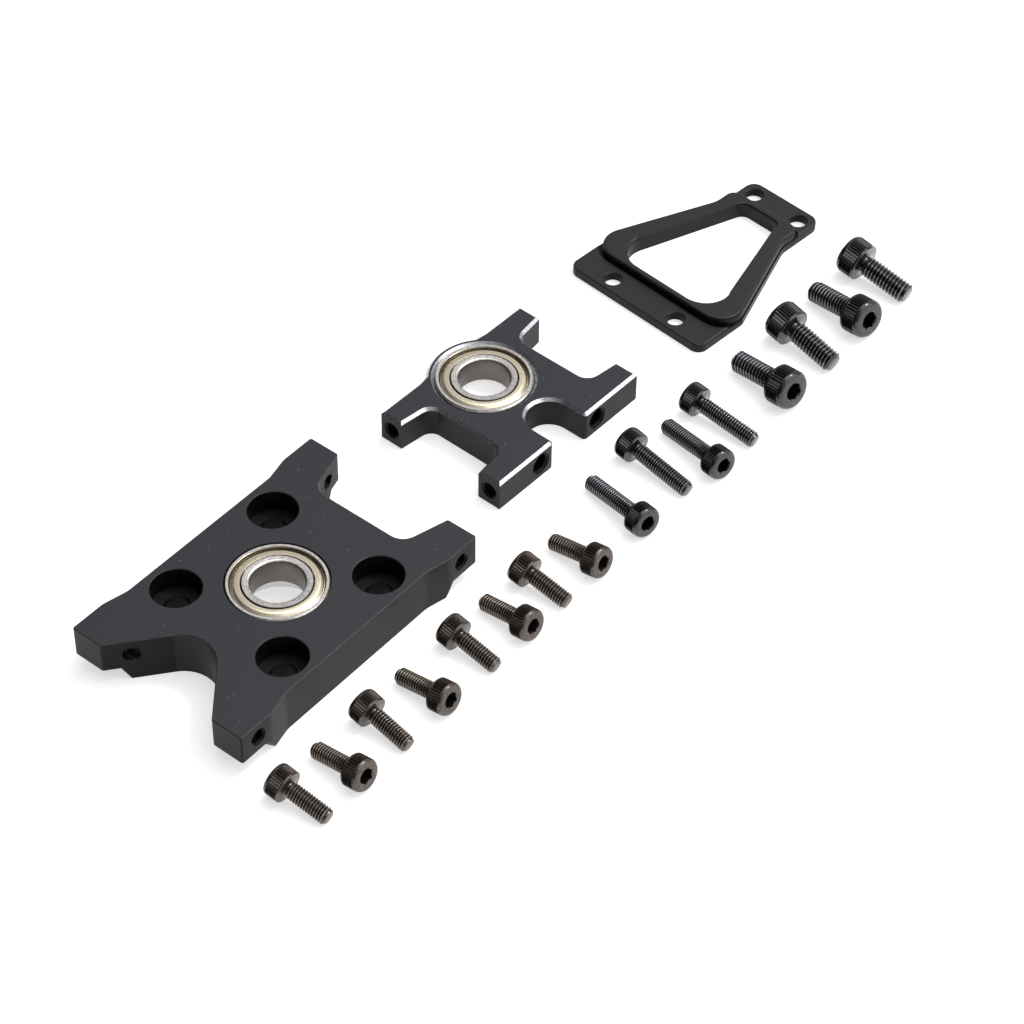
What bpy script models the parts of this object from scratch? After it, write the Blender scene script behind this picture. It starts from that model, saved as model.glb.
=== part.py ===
"""Shaft bearing block kit, laid out flat.

A lower bearing block, an upper bearing block, a brace plate and sixteen socket
cap screws lie side by side on the surface z = 0. Each block holds one shielded
ball bearing. Lengths below are in millimetres and are scaled to metres where
the geometry is made. +X runs across the row of pieces, +Y along it.
"""

import math

import bmesh
import bpy
from mathutils import Euler, Matrix, Vector

MM = 0.001

# Ball bearing, 9 x 17 x 5, with a shield and a snap ring on each side.
BEARING_BORE_R = 4.5
BEARING_OUTER_R = 8.5
BEARING_WIDTH = 5.0
INNER_SHOULDER_R = 5.8
OUTER_LAND_R = 7.5
SHIELD_RECESS_R = 7.8
SHIELD_RECESS_DEPTH = 0.75
BALL_COUNT = 10
BALL_R = 1.15
BALL_PITCH_R = 6.75
GROOVE_R = BALL_R + 0.1
CAGE_INNER_R = 6.35
CAGE_OUTER_R = 7.15
CAGE_HALF_WIDTH = 1.6
CAGE_POCKET_R = BALL_R + 0.12
SHIELD_INNER_R = 5.95
SHIELD_OUTER_R = 7.65
SHIELD_THICKNESS = 0.2
SNAP_RING_INNER_R = 7.35
SNAP_RING_THICKNESS = 0.2
SNAP_RING_SPLIT = 1.2
SPLIT_CUT_LENGTH = 2.0
STACK_GAP = 0.1

# Seats for the bearings.
SEAT_R = BEARING_OUTER_R + 0.2
SEAT_DEPTH = BEARING_WIDTH + 0.2
LIP_R = 7.0

# Lower block: H shape, the four legs thinner than the body and flush at the top.
LOWER_HEIGHT = 8.6
LOWER_LEG_HEIGHT = 5.8
LOWER_HALF_WIDTH = 17.95
LOWER_WAIST_HALF_WIDTH = 16.9
LOWER_HALF_LENGTH = 28.0
LOWER_LEG_INNER = 11.9
LOWER_WAIST_END = 16.7
LOWER_LEG_START = 21.2
LOWER_FLAT_NOTCH_Y = 19.35
LOWER_FLAT_NOTCH_HALF = 9.5
LOWER_FLAT_NOTCH_ROUND = 3.0
LOWER_VEE_NOTCH_APEX = 13.3
LOWER_VEE_NOTCH_ROUND = 6.0
LOWER_WAIST_ROUND = 5.0
COUNTERBORE_PITCH = 22.8
COUNTERBORE_R = 4.25
COUNTERBORE_DEPTH = 4.1
BOLT_HOLE_R = 2.15
LOWER_TAP_Y = 24.2
LOWER_TAP_INNER_X = 5.0
TAP_M3_R = 1.25
TAP_M4_R = 1.65
RELIEF_ANGLE = math.radians(25.0)
RELIEF_RUN = 1.6
RELIEF_CENTRE_X = 13.5
RELIEF_CENTRE_Y = 22.4
RELIEF_REACH = 16.0

# Corners of the legs, seen from above.
LEG_TIP_ROUND = 0.4

# Upper block: round hub, four short legs and a round-ended pocket.
UPPER_HEIGHT = 6.0
UPPER_LEFT = -7.45
UPPER_RIGHT = 19.1
UPPER_HALF_LENGTH = 18.0
UPPER_NOTCH_Y = 11.35
UPPER_NOTCH_LEFT = -2.1
UPPER_NOTCH_RIGHT = 13.6
UPPER_NOTCH_FLARE = 0.8
UPPER_NOTCH_ROUND = 2.2
HUB_R = 10.1
HUB_BLEND_Y = 8.6
HUB_BLEND_ROUND = 3.0
HUB_ARC_START = math.radians(140.6)
HUB_ARC_STEPS = 9
POCKET_R = 4.1
POCKET_CENTRE_X = 14.65
POCKET_ROUND_MARGIN = 0.01
UPPER_SIDE_TAP_Y = 7.4
UPPER_SIDE_TAP_DEPTH = 8.5
UPPER_END_TAP_X = (-5.1, 16.75)
UPPER_END_TAP_DEPTH = 8.0
UPPER_AT = (-7.0, 60.1)
UPPER_TURN = math.radians(-1.5)

# Brace plate: thin base, raised rim round a trapezoid window.
PLATE_BASE_THICKNESS = 1.8
PLATE_RIM_HEIGHT = 3.2
PLATE_HALF_WIDTH = 15.85
PLATE_FRONT_Y = -2.85
PLATE_SHOULDER_Y = 8.7
PLATE_NECK_Y = 28.4
PLATE_TAB_HALF_WIDTH = 8.2
PLATE_BACK_Y = 38.85
PLATE_FRONT_ROUND = 2.0
PLATE_SHOULDER_ROUND = 3.0
PLATE_NECK_ROUND = 5.0
PLATE_TAB_ROUND = 2.2
RIM_FRONT_HALF = 17.75
RIM_FRONT_Y = 3.2
RIM_NECK_HALF = 8.05
RIM_NECK_Y = 28.2
RIM_BACK_Y = 33.0
RIM_FRONT_ROUND = 4.5
RIM_BACK_ROUND = 0.5
WINDOW_FRONT_HALF = 12.7
WINDOW_FRONT_Y = 4.5
WINDOW_BACK_HALF = 4.1
WINDOW_BACK_Y = 31.5
WINDOW_FRONT_ROUND = 4.8
WINDOW_BACK_ROUND = 1.9
PLATE_HOLE_R = 1.6
PLATE_FRONT_HOLE_X = 7.55
PLATE_BACK_HOLE_X = 5.3
PLATE_BACK_HOLE_Y = 35.75
PLATE_AT = (-1.2, 97.7)
PLATE_TURN = math.radians(-5.2)

# Socket cap screws: head radius, head height, shank radius, shank length, socket across flats.
SCREW_SIZES = {
    "short_screw": (2.8, 3.0, 1.47, 8.0, 2.5),
    "long_screw": (2.8, 3.0, 1.47, 12.0, 2.5),
    "large_screw": (3.55, 4.0, 1.96, 10.0, 3.0),
}
SOCKET_DEPTH_SHARE = 0.55
HEAD_CHAMFER = 0.35
TIP_CHAMFER = 0.4

# Where each screw lies by hand: x and y of the underside of its head, and the
# heading of its shank in degrees, row by row from the lower block outwards.
SCREW_LAYOUT = {
    "short_screw": (
        (26.5, -27.0, 2), (31.5, -18.0, 179), (26.5, -7.5, -4), (31.5, 2.0, 180),
        (26.5, 13.5, -2), (31.5, 22.5, 178), (26.5, 31.5, -1), (31.5, 40.5, 180),
    ),
    "long_screw": (
        (31.5, 53.0, 168), (22.0, 65.5, -6), (33.0, 72.0, 168), (23.5, 81.5, -2),
    ),
    "large_screw": (
        (31.0, 93.5, 171), (25.0, 106.5, -8), (30.5, 117.0, 170), (24.5, 129.0, -3),
    ),
}

RING_STEPS = 32
SCREW_HEAD_STEPS = 16
HOLE_STEPS = 16
COUNTERBORE_STEPS = 24
POCKET_STEPS = 12
HEXAGON = 6
CORNER_STEP = math.radians(18.0)
SHARP_ANGLE = math.radians(35.0)
OVERSHOOT = 1.0
EMPTY_SIZE = 4.0


def clear_scene():
    """Remove every object that the file starts with."""
    for item in list(bpy.data.objects):
        bpy.data.objects.remove(item, do_unlink=True)


def make_collection(name):
    """Add a collection to the scene."""
    collection = bpy.data.collections.new(name)
    bpy.context.scene.collection.children.link(collection)
    return collection


def make_material(name, colour, metallic, roughness):
    """A Principled material with one colour."""
    material = bpy.data.materials.new(name)
    material.use_nodes = True
    shader = material.node_tree.nodes["Principled BSDF"]
    shader.inputs["Base Color"].default_value = (*colour, 1.0)
    shader.inputs["Metallic"].default_value = metallic
    shader.inputs["Roughness"].default_value = roughness
    return material


def add_object(name, mesh, collection):
    """Put a mesh in a new object of the given collection."""
    item = bpy.data.objects.new(name, mesh)
    collection.objects.link(item)
    return item


def add_empty(name, collection, location=(0.0, 0.0, 0.0), turn=0.0, parent=None):
    """An empty that carries a group of pieces. Location in millimetres."""
    empty = bpy.data.objects.new(name, None)
    empty.empty_display_size = EMPTY_SIZE * MM
    empty.location = Vector(location) * MM
    empty.rotation_euler = Euler((0.0, 0.0, turn))
    empty.parent = parent
    collection.objects.link(empty)
    return empty


def mirrored(right_half):
    """Close an outline that is symmetric about x = 0, from its +x side run counter-clockwise."""
    left_half = [(-x, y, r) for x, y, r in reversed(right_half) if abs(x) > 1e-6]
    return list(right_half) + left_half


def rounded(corners):
    """Replace each (x, y, radius) corner by an arc of that radius."""
    points = []
    for index, (x, y, radius) in enumerate(corners):
        here = Vector((x, y))
        if radius <= 0.0:
            points.append(here)
            continue
        before = (Vector(corners[index - 1][:2]) - here).normalized()
        after = (Vector(corners[(index + 1) % len(corners)][:2]) - here).normalized()
        half_angle = before.angle(after) / 2.0
        centre = here + (before + after).normalized() * (radius / math.sin(half_angle))
        start = here + before * (radius / math.tan(half_angle)) - centre
        sweep = start.angle_signed(here + after * (radius / math.tan(half_angle)) - centre)
        steps = max(2, math.ceil(abs(sweep) / CORNER_STEP))
        for step in range(steps + 1):
            turned_start = start.copy()
            turned_start.rotate(Matrix.Rotation(-sweep * step / steps, 2))
            points.append(centre + turned_start)
    return points


def slab_mesh(name, points, low, high):
    """Mesh of a flat outline between two heights, from a filled and extruded 2D curve."""
    curve = bpy.data.curves.new(name + "_outline", "CURVE")
    curve.dimensions = "2D"
    curve.fill_mode = "BOTH"
    curve.extrude = (high - low) / 2.0 * MM
    spline = curve.splines.new("POLY")
    spline.points.add(len(points) - 1)
    for target, point in zip(spline.points, points):
        target.co = (point[0] * MM, point[1] * MM, 0.0, 1.0)
    spline.use_cyclic_u = True
    guide = bpy.data.objects.new(name + "_outline", curve)
    bpy.context.scene.collection.objects.link(guide)
    bpy.context.view_layer.update()
    evaluated = guide.evaluated_get(bpy.context.evaluated_depsgraph_get())
    mesh = bpy.data.meshes.new_from_object(evaluated)
    mesh.name = name
    bpy.data.objects.remove(guide, do_unlink=True)
    bpy.data.curves.remove(curve)
    body = bmesh.new()
    body.from_mesh(mesh)
    bmesh.ops.remove_doubles(body, verts=body.verts, dist=1e-6)
    bmesh.ops.translate(body, verts=body.verts, vec=(0.0, 0.0, (low + high) / 2.0 * MM))
    bmesh.ops.recalc_face_normals(body, faces=body.faces)
    body.to_mesh(mesh)
    body.free()
    return mesh


def turned_object(name, profile, steps, collection, closed_loop):
    """Turn an (r, z) profile about Z with a Screw modifier. The profile runs down its outer side."""
    mesh = bpy.data.meshes.new(name)
    vertices = [(radius * MM, 0.0, height * MM) for radius, height in profile]
    edges = [(index, index + 1) for index in range(len(profile) - 1)]
    if closed_loop:
        edges.append((len(profile) - 1, 0))
    mesh.from_pydata(vertices, edges, [])
    item = add_object(name, mesh, collection)
    lathe = item.modifiers.new("lathe", "SCREW")
    lathe.axis = "Z"
    lathe.angle = 2.0 * math.pi
    lathe.steps = steps
    lathe.render_steps = steps
    lathe.use_merge_vertices = True
    lathe.merge_threshold = 1e-6
    return item


def freeze(item):
    """Turn an object's modifiers into plain mesh."""
    bpy.context.view_layer.update()
    evaluated = item.evaluated_get(bpy.context.evaluated_depsgraph_get())
    mesh = bpy.data.meshes.new_from_object(evaluated)
    item.modifiers.clear()
    item.data = mesh
    return item


def cylinder_cutter(name, collection, radius, start, end, steps=HOLE_STEPS):
    """A cylinder between two points, used as a cutter."""
    first, last = Vector(start) * MM, Vector(end) * MM
    run = last - first
    mesh = bpy.data.meshes.new(name)
    body = bmesh.new()
    bmesh.ops.create_cone(body, cap_ends=True, segments=steps, radius1=radius * MM,
                          radius2=radius * MM, depth=run.length)
    body.to_mesh(mesh)
    body.free()
    item = add_object(name, mesh, collection)
    item.rotation_mode = "QUATERNION"
    item.rotation_quaternion = run.to_track_quat("Z", "Y")
    item.location = (first + last) / 2.0
    return item


def as_cutter(item):
    """Hide a cutter from the build."""
    item.hide_render = True
    item.display_type = "WIRE"
    return item


def boolean(item, cutter, operation="DIFFERENCE"):
    """Add an exact Boolean of one object with another."""
    as_cutter(cutter)
    modifier = item.modifiers.new(cutter.name, "BOOLEAN")
    modifier.operation = operation
    modifier.solver = "EXACT"
    modifier.object = cutter


def smooth_mesh(mesh):
    """Shade a mesh smooth, with its real edges sharp."""
    mesh.shade_smooth()
    mesh.set_sharp_from_angle(angle=SHARP_ANGLE)


def finish(item, material, parent=None, smooth=False):
    """Dress a finished piece and hang it on its empty."""
    freeze(item)
    item.data.materials.clear()
    item.data.materials.append(material)
    item.parent = parent
    if smooth:
        smooth_mesh(item.data)
    return item


def cut_bearing_seat(item, cutters, height):
    """Counterbore the block for its bearing and leave a lip under the outer ring."""
    seat = cylinder_cutter(item.name + "_seat", cutters, SEAT_R, (0, 0, height - SEAT_DEPTH),
                           (0, 0, height + OVERSHOOT), RING_STEPS)
    lip = cylinder_cutter(item.name + "_lip", cutters, LIP_R, (0, 0, -OVERSHOOT),
                          (0, 0, height), RING_STEPS)
    boolean(item, seat)
    boolean(item, lip)


def make_lower_block(parts, cutters, material, parent):
    """Waisted H block with a vee notch, a flat notch and four counterbored bolt holes."""
    corners = mirrored([
        (0.0, -LOWER_VEE_NOTCH_APEX, LOWER_VEE_NOTCH_ROUND),
        (LOWER_LEG_INNER, -LOWER_HALF_LENGTH, LEG_TIP_ROUND),
        (LOWER_HALF_WIDTH, -LOWER_HALF_LENGTH, LEG_TIP_ROUND),
        (LOWER_HALF_WIDTH, -LOWER_LEG_START, LOWER_WAIST_ROUND),
        (LOWER_WAIST_HALF_WIDTH, -LOWER_WAIST_END, LOWER_WAIST_ROUND),
        (LOWER_WAIST_HALF_WIDTH, LOWER_WAIST_END, LOWER_WAIST_ROUND),
        (LOWER_HALF_WIDTH, LOWER_LEG_START, LOWER_WAIST_ROUND),
        (LOWER_HALF_WIDTH, LOWER_HALF_LENGTH, LEG_TIP_ROUND),
        (LOWER_LEG_INNER, LOWER_HALF_LENGTH, LEG_TIP_ROUND),
        (LOWER_FLAT_NOTCH_HALF, LOWER_FLAT_NOTCH_Y, LOWER_FLAT_NOTCH_ROUND),
    ])
    block = add_object("lower_block", slab_mesh("lower_block", rounded(corners), 0.0, LOWER_HEIGHT), parts)
    cut_bearing_seat(block, cutters, LOWER_HEIGHT)
    step_z = LOWER_HEIGHT - LOWER_LEG_HEIGHT
    for side_x in (-1, 1):
        for side_y in (-1, 1):
            tag = f"{'left' if side_x < 0 else 'right'}_{'front' if side_y < 0 else 'back'}"
            x, y = side_x * COUNTERBORE_PITCH / 2.0, side_y * COUNTERBORE_PITCH / 2.0
            boolean(block, cylinder_cutter(
                "counterbore_" + tag, cutters, COUNTERBORE_R,
                (x, y, LOWER_HEIGHT - COUNTERBORE_DEPTH), (x, y, LOWER_HEIGHT + OVERSHOOT),
                COUNTERBORE_STEPS))
            boolean(block, cylinder_cutter(
                "bolt_hole_" + tag, cutters, BOLT_HOLE_R,
                (x, y, -OVERSHOOT), (x, y, LOWER_HEIGHT - OVERSHOOT)))
            tap_z = step_z + LOWER_LEG_HEIGHT / 2.0
            boolean(block, cylinder_cutter(
                "leg_tap_" + tag, cutters, TAP_M3_R,
                (side_x * LOWER_TAP_INNER_X, side_y * LOWER_TAP_Y, tap_z),
                (side_x * (LOWER_HALF_WIDTH + OVERSHOOT), side_y * LOWER_TAP_Y, tap_z)))
            boolean(block, leg_relief_cutter(tag, cutters, side_x, side_y, step_z))
    return finish(block, material, parent)


def leg_relief_cutter(tag, cutters, side_x, side_y, step_z):
    """Wedge-faced block that takes the underside of one leg up to the leg's thickness."""
    outline = ((0.0, -OVERSHOOT), (0.0, 0.0), (RELIEF_RUN, step_z),
               (RELIEF_REACH, step_z), (RELIEF_REACH, -OVERSHOOT))
    mesh = slab_mesh("leg_relief_" + tag, outline, -RELIEF_REACH, RELIEF_REACH)
    upright = Matrix.Rotation(math.radians(90.0), 4, "X")
    mesh.transform(upright)
    item = add_object("leg_relief_" + tag, mesh, cutters)
    outward = math.radians(90.0) - RELIEF_ANGLE
    heading = outward if side_x > 0 else math.pi - outward
    item.rotation_euler = Euler((0.0, 0.0, heading * side_y))
    item.location = Vector((side_x * RELIEF_CENTRE_X, side_y * RELIEF_CENTRE_Y, 0.0)) * MM
    return item


def make_upper_block(parts, cutters, material, parent):
    """Hub block: round boss, four legs with tapped ends and a pocket open to one side."""
    left_end = UPPER_NOTCH_LEFT - UPPER_NOTCH_FLARE
    right_end = UPPER_NOTCH_RIGHT + UPPER_NOTCH_FLARE
    corners = [
        (UPPER_LEFT, -UPPER_HALF_LENGTH, LEG_TIP_ROUND),
        (left_end, -UPPER_HALF_LENGTH, LEG_TIP_ROUND),
        (UPPER_NOTCH_LEFT, -UPPER_NOTCH_Y, UPPER_NOTCH_ROUND),
        (UPPER_NOTCH_RIGHT, -UPPER_NOTCH_Y, UPPER_NOTCH_ROUND),
        (right_end, -UPPER_HALF_LENGTH, LEG_TIP_ROUND),
        (UPPER_RIGHT, -UPPER_HALF_LENGTH, LEG_TIP_ROUND),
        (UPPER_RIGHT, UPPER_HALF_LENGTH, LEG_TIP_ROUND),
        (right_end, UPPER_HALF_LENGTH, LEG_TIP_ROUND),
        (UPPER_NOTCH_RIGHT, UPPER_NOTCH_Y, UPPER_NOTCH_ROUND),
        (UPPER_NOTCH_LEFT, UPPER_NOTCH_Y, UPPER_NOTCH_ROUND),
        (left_end, UPPER_HALF_LENGTH, LEG_TIP_ROUND),
        (UPPER_LEFT, UPPER_HALF_LENGTH, LEG_TIP_ROUND),
        (UPPER_LEFT, HUB_BLEND_Y, HUB_BLEND_ROUND),
    ]
    hub_sweep = 2.0 * (math.pi - HUB_ARC_START)
    for step in range(HUB_ARC_STEPS + 1):
        angle = HUB_ARC_START + hub_sweep * step / HUB_ARC_STEPS
        corners.append((HUB_R * math.cos(angle), HUB_R * math.sin(angle), 0.0))
    corners.append((UPPER_LEFT, -HUB_BLEND_Y, HUB_BLEND_ROUND))
    block = add_object("upper_block", slab_mesh("upper_block", rounded(corners), 0.0, UPPER_HEIGHT), parts)
    cut_bearing_seat(block, cutters, UPPER_HEIGHT)

    past = UPPER_RIGHT + 2.0 * OVERSHOOT
    pocket_round = POCKET_R - POCKET_ROUND_MARGIN
    pocket = [
        (POCKET_CENTRE_X - POCKET_R, -POCKET_R, pocket_round),
        (past, -POCKET_R, 0.0),
        (past, POCKET_R, 0.0),
        (POCKET_CENTRE_X - POCKET_R, POCKET_R, pocket_round),
    ]
    pocket_mesh = slab_mesh("pocket", rounded(pocket), -OVERSHOOT, UPPER_HEIGHT + OVERSHOOT)
    boolean(block, add_object("pocket", pocket_mesh, cutters))
    mid = UPPER_HEIGHT / 2.0
    for side_y in (-1, 1):
        tag = "front" if side_y < 0 else "back"
        boolean(block, cylinder_cutter(
            "side_tap_" + tag, cutters, TAP_M4_R,
            (UPPER_RIGHT - UPPER_SIDE_TAP_DEPTH, side_y * UPPER_SIDE_TAP_Y, mid),
            (UPPER_RIGHT + OVERSHOOT, side_y * UPPER_SIDE_TAP_Y, mid)))
        for number, x in enumerate(UPPER_END_TAP_X, 1):
            boolean(block, cylinder_cutter(
                f"end_tap_{tag}_{number}", cutters, TAP_M3_R,
                (x, side_y * (UPPER_HALF_LENGTH - UPPER_END_TAP_DEPTH), mid),
                (x, side_y * (UPPER_HALF_LENGTH + OVERSHOOT), mid)))
    return finish(block, material, parent)


def make_brace_plate(parts, cutters, material, parent):
    """Flanged plate with a raised rim round its window and four screw holes."""
    base = mirrored([
        (PLATE_HALF_WIDTH, PLATE_FRONT_Y, PLATE_FRONT_ROUND),
        (PLATE_HALF_WIDTH, PLATE_SHOULDER_Y, PLATE_SHOULDER_ROUND),
        (PLATE_TAB_HALF_WIDTH, PLATE_NECK_Y, PLATE_NECK_ROUND),
        (PLATE_TAB_HALF_WIDTH, PLATE_BACK_Y, PLATE_TAB_ROUND),
    ])
    rim = mirrored([
        (RIM_FRONT_HALF, RIM_FRONT_Y, RIM_FRONT_ROUND),
        (RIM_NECK_HALF, RIM_NECK_Y, PLATE_NECK_ROUND),
        (RIM_NECK_HALF, RIM_BACK_Y, RIM_BACK_ROUND),
    ])
    window = mirrored([
        (WINDOW_FRONT_HALF, WINDOW_FRONT_Y, WINDOW_FRONT_ROUND),
        (WINDOW_BACK_HALF, WINDOW_BACK_Y, WINDOW_BACK_ROUND),
    ])
    plate = add_object("brace_plate", slab_mesh("brace_plate", rounded(base), 0.0,
                                                 PLATE_BASE_THICKNESS), parts)
    rim_mesh = slab_mesh("rim", rounded(rim), PLATE_BASE_THICKNESS / 2.0, PLATE_RIM_HEIGHT)
    boolean(plate, add_object("rim", rim_mesh, cutters), "UNION")
    window_mesh = slab_mesh("window", rounded(window), -OVERSHOOT, PLATE_RIM_HEIGHT + OVERSHOOT)
    boolean(plate, add_object("window", window_mesh, cutters))
    for side_x in (-1, 1):
        tag = "left" if side_x < 0 else "right"
        for row, x, y in (("front", PLATE_FRONT_HOLE_X, 0.0),
                          ("back", PLATE_BACK_HOLE_X, PLATE_BACK_HOLE_Y)):
            boolean(plate, cylinder_cutter(
                f"plate_hole_{row}_{tag}", cutters, PLATE_HOLE_R,
                (side_x * x, y, -OVERSHOOT), (side_x * x, y, PLATE_RIM_HEIGHT + OVERSHOOT)))
    return finish(plate, material, parent)


def groove(towards_axis):
    """Points of the ball track's arc, from top to bottom of the ring's wall."""
    land = INNER_SHOULDER_R if towards_axis else OUTER_LAND_R
    opening = math.acos(abs(BALL_PITCH_R - land) / GROOVE_R)
    side = -1.0 if towards_axis else 1.0
    return [(BALL_PITCH_R + side * GROOVE_R * math.cos(opening * share),
             GROOVE_R * math.sin(opening * share)) for share in (1.0, 0.5, 0.0, -0.5, -1.0)]


def make_bearing(name, parts, cutters, materials, parent):
    """One shielded ball bearing, centred on its parent empty's origin."""
    half = BEARING_WIDTH / 2.0
    inner_profile = [(INNER_SHOULDER_R, half)] + groove(True) + [
        (INNER_SHOULDER_R, -half), (BEARING_BORE_R, -half), (BEARING_BORE_R, half)]
    inner = turned_object(name + "_inner_ring", inner_profile, RING_STEPS, parts, True)
    finish(inner, materials["ring"], parent, smooth=True)

    recess = half - SHIELD_RECESS_DEPTH
    inner_wall = [(SHIELD_RECESS_R, half), (SHIELD_RECESS_R, recess), (OUTER_LAND_R, recess)]
    inner_wall += groove(False)
    inner_wall += [(OUTER_LAND_R, -recess), (SHIELD_RECESS_R, -recess), (SHIELD_RECESS_R, -half)]
    outer_profile = [(BEARING_OUTER_R, half), (BEARING_OUTER_R, -half)] + list(reversed(inner_wall))
    outer = turned_object(name + "_outer_ring", outer_profile, RING_STEPS, parts, True)
    finish(outer, materials["ring"], parent, smooth=True)

    cage_profile = [(CAGE_OUTER_R, CAGE_HALF_WIDTH), (CAGE_OUTER_R, -CAGE_HALF_WIDTH),
                    (CAGE_INNER_R, -CAGE_HALF_WIDTH), (CAGE_INNER_R, CAGE_HALF_WIDTH)]
    cage = turned_object(name + "_cage", cage_profile, RING_STEPS, parts, True)
    for number in range(BALL_COUNT):
        angle = 2.0 * math.pi * number / BALL_COUNT
        out = Vector((math.cos(angle), math.sin(angle), 0.0))
        boolean(cage, cylinder_cutter(
            f"{name}_pocket_{number + 1}", cutters, CAGE_POCKET_R,
            out * (CAGE_INNER_R - OVERSHOOT), out * (CAGE_OUTER_R + OVERSHOOT), POCKET_STEPS))
        ball_mesh = bpy.data.meshes.new("bearing_ball")
        ball_body = bmesh.new()
        bmesh.ops.create_icosphere(ball_body, subdivisions=2, radius=BALL_R * MM)
        ball_body.to_mesh(ball_mesh)
        ball_body.free()
        ball = add_object(f"{name}_ball_{number + 1:02d}", ball_mesh, parts)
        finish(ball, materials["ball"], parent, smooth=True)
        ball.location = out * BALL_PITCH_R * MM
    finish(cage, materials["cage"], parent, smooth=True)

    for side, tag in ((1.0, "top"), (-1.0, "bottom")):
        shield_low = recess + STACK_GAP
        make_washer(f"{name}_{tag}_shield", parts, materials["shield"], parent,
                    SHIELD_INNER_R, SHIELD_OUTER_R, shield_low, SHIELD_THICKNESS, side)
        snap_low = shield_low + SHIELD_THICKNESS + STACK_GAP
        split_mesh = box_mesh(SNAP_RING_SPLIT, SPLIT_CUT_LENGTH, half)
        split = add_object(f"{name}_{tag}_split", split_mesh, cutters)
        split.location = Vector((0.0, SHIELD_OUTER_R, side * snap_low)) * MM
        make_washer(f"{name}_{tag}_snap_ring", parts, materials["snap_ring"], parent,
                    SNAP_RING_INNER_R, SHIELD_OUTER_R, snap_low, SNAP_RING_THICKNESS, side, split)


def box_mesh(size_x, size_y, size_z):
    """Mesh of a box centred on its origin."""
    mesh = bpy.data.meshes.new("box")
    body = bmesh.new()
    bmesh.ops.create_cube(body, size=1.0)
    bmesh.ops.scale(body, verts=body.verts, vec=(size_x * MM, size_y * MM, size_z * MM))
    body.to_mesh(mesh)
    body.free()
    return mesh


def make_washer(name, parts, material, parent, inner_r, outer_r, low, thickness, side, split=None):
    """A flat ring above (side 1) or below (side -1) the bearing's middle plane."""
    top, bottom = max(side * low, side * (low + thickness)), min(side * low, side * (low + thickness))
    profile = [(outer_r, top), (outer_r, bottom), (inner_r, bottom), (inner_r, top)]
    washer = turned_object(name, profile, RING_STEPS, parts, True)
    if split is not None:
        boolean(washer, split)
    return finish(washer, material, parent, smooth=True)


def screw_mesh(kind, parts, cutters):
    """Mesh of one cap screw: head above the origin, shank below it, hex socket in the head."""
    head_r, head_h, shank_r, length, flats = SCREW_SIZES[kind]
    profile = [(0.0, head_h), (head_r - HEAD_CHAMFER, head_h), (head_r, head_h - HEAD_CHAMFER),
               (head_r, 0.0), (shank_r, 0.0), (shank_r, TIP_CHAMFER - length),
               (shank_r - TIP_CHAMFER, -length), (0.0, -length)]
    pattern = turned_object(kind + "_pattern", profile, SCREW_HEAD_STEPS, parts, False)
    socket_r = flats / 2.0 / math.cos(math.radians(30.0))
    boolean(pattern, cylinder_cutter(
        kind + "_socket", cutters, socket_r,
        (0.0, 0.0, head_h * (1.0 - SOCKET_DEPTH_SHARE)), (0.0, 0.0, head_h + OVERSHOOT), HEXAGON))
    freeze(pattern)
    mesh = pattern.data
    mesh.name = kind
    bpy.data.objects.remove(pattern, do_unlink=True)
    return mesh


def make_screws(kind, parts, cutters, material, parent):
    """Lay all the screws of one kind on the surface, each resting on its head's rim and its tip."""
    head_r, _, shank_r, length, _ = SCREW_SIZES[kind]
    mesh = screw_mesh(kind, parts, cutters)
    mesh.materials.clear()
    mesh.materials.append(material)
    smooth_mesh(mesh)
    dip = math.atan2(head_r - shank_r, length)
    for number, (x, y, heading) in enumerate(SCREW_LAYOUT[kind], 1):
        screw = add_object(f"{kind}_{number}", mesh, parts)
        screw.rotation_euler = Euler((0.0, dip - math.pi / 2.0, math.radians(heading)))
        screw.location = Vector((x, y, head_r * math.cos(dip))) * MM
        screw.parent = parent


def centre_on_origin(layout, parts):
    """Move the whole layout so that its box is centred on the origin in X and Y and stands on z = 0."""
    bpy.context.view_layer.update()
    corners = [item.matrix_world @ vertex.co
               for item in parts.objects if item.type == "MESH" for vertex in item.data.vertices]
    for axis in range(2):
        values = [corner[axis] for corner in corners]
        layout.location[axis] -= (min(values) + max(values)) / 2.0
    layout.location[2] -= min(corner[2] for corner in corners)
    bpy.context.view_layer.update()


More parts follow.
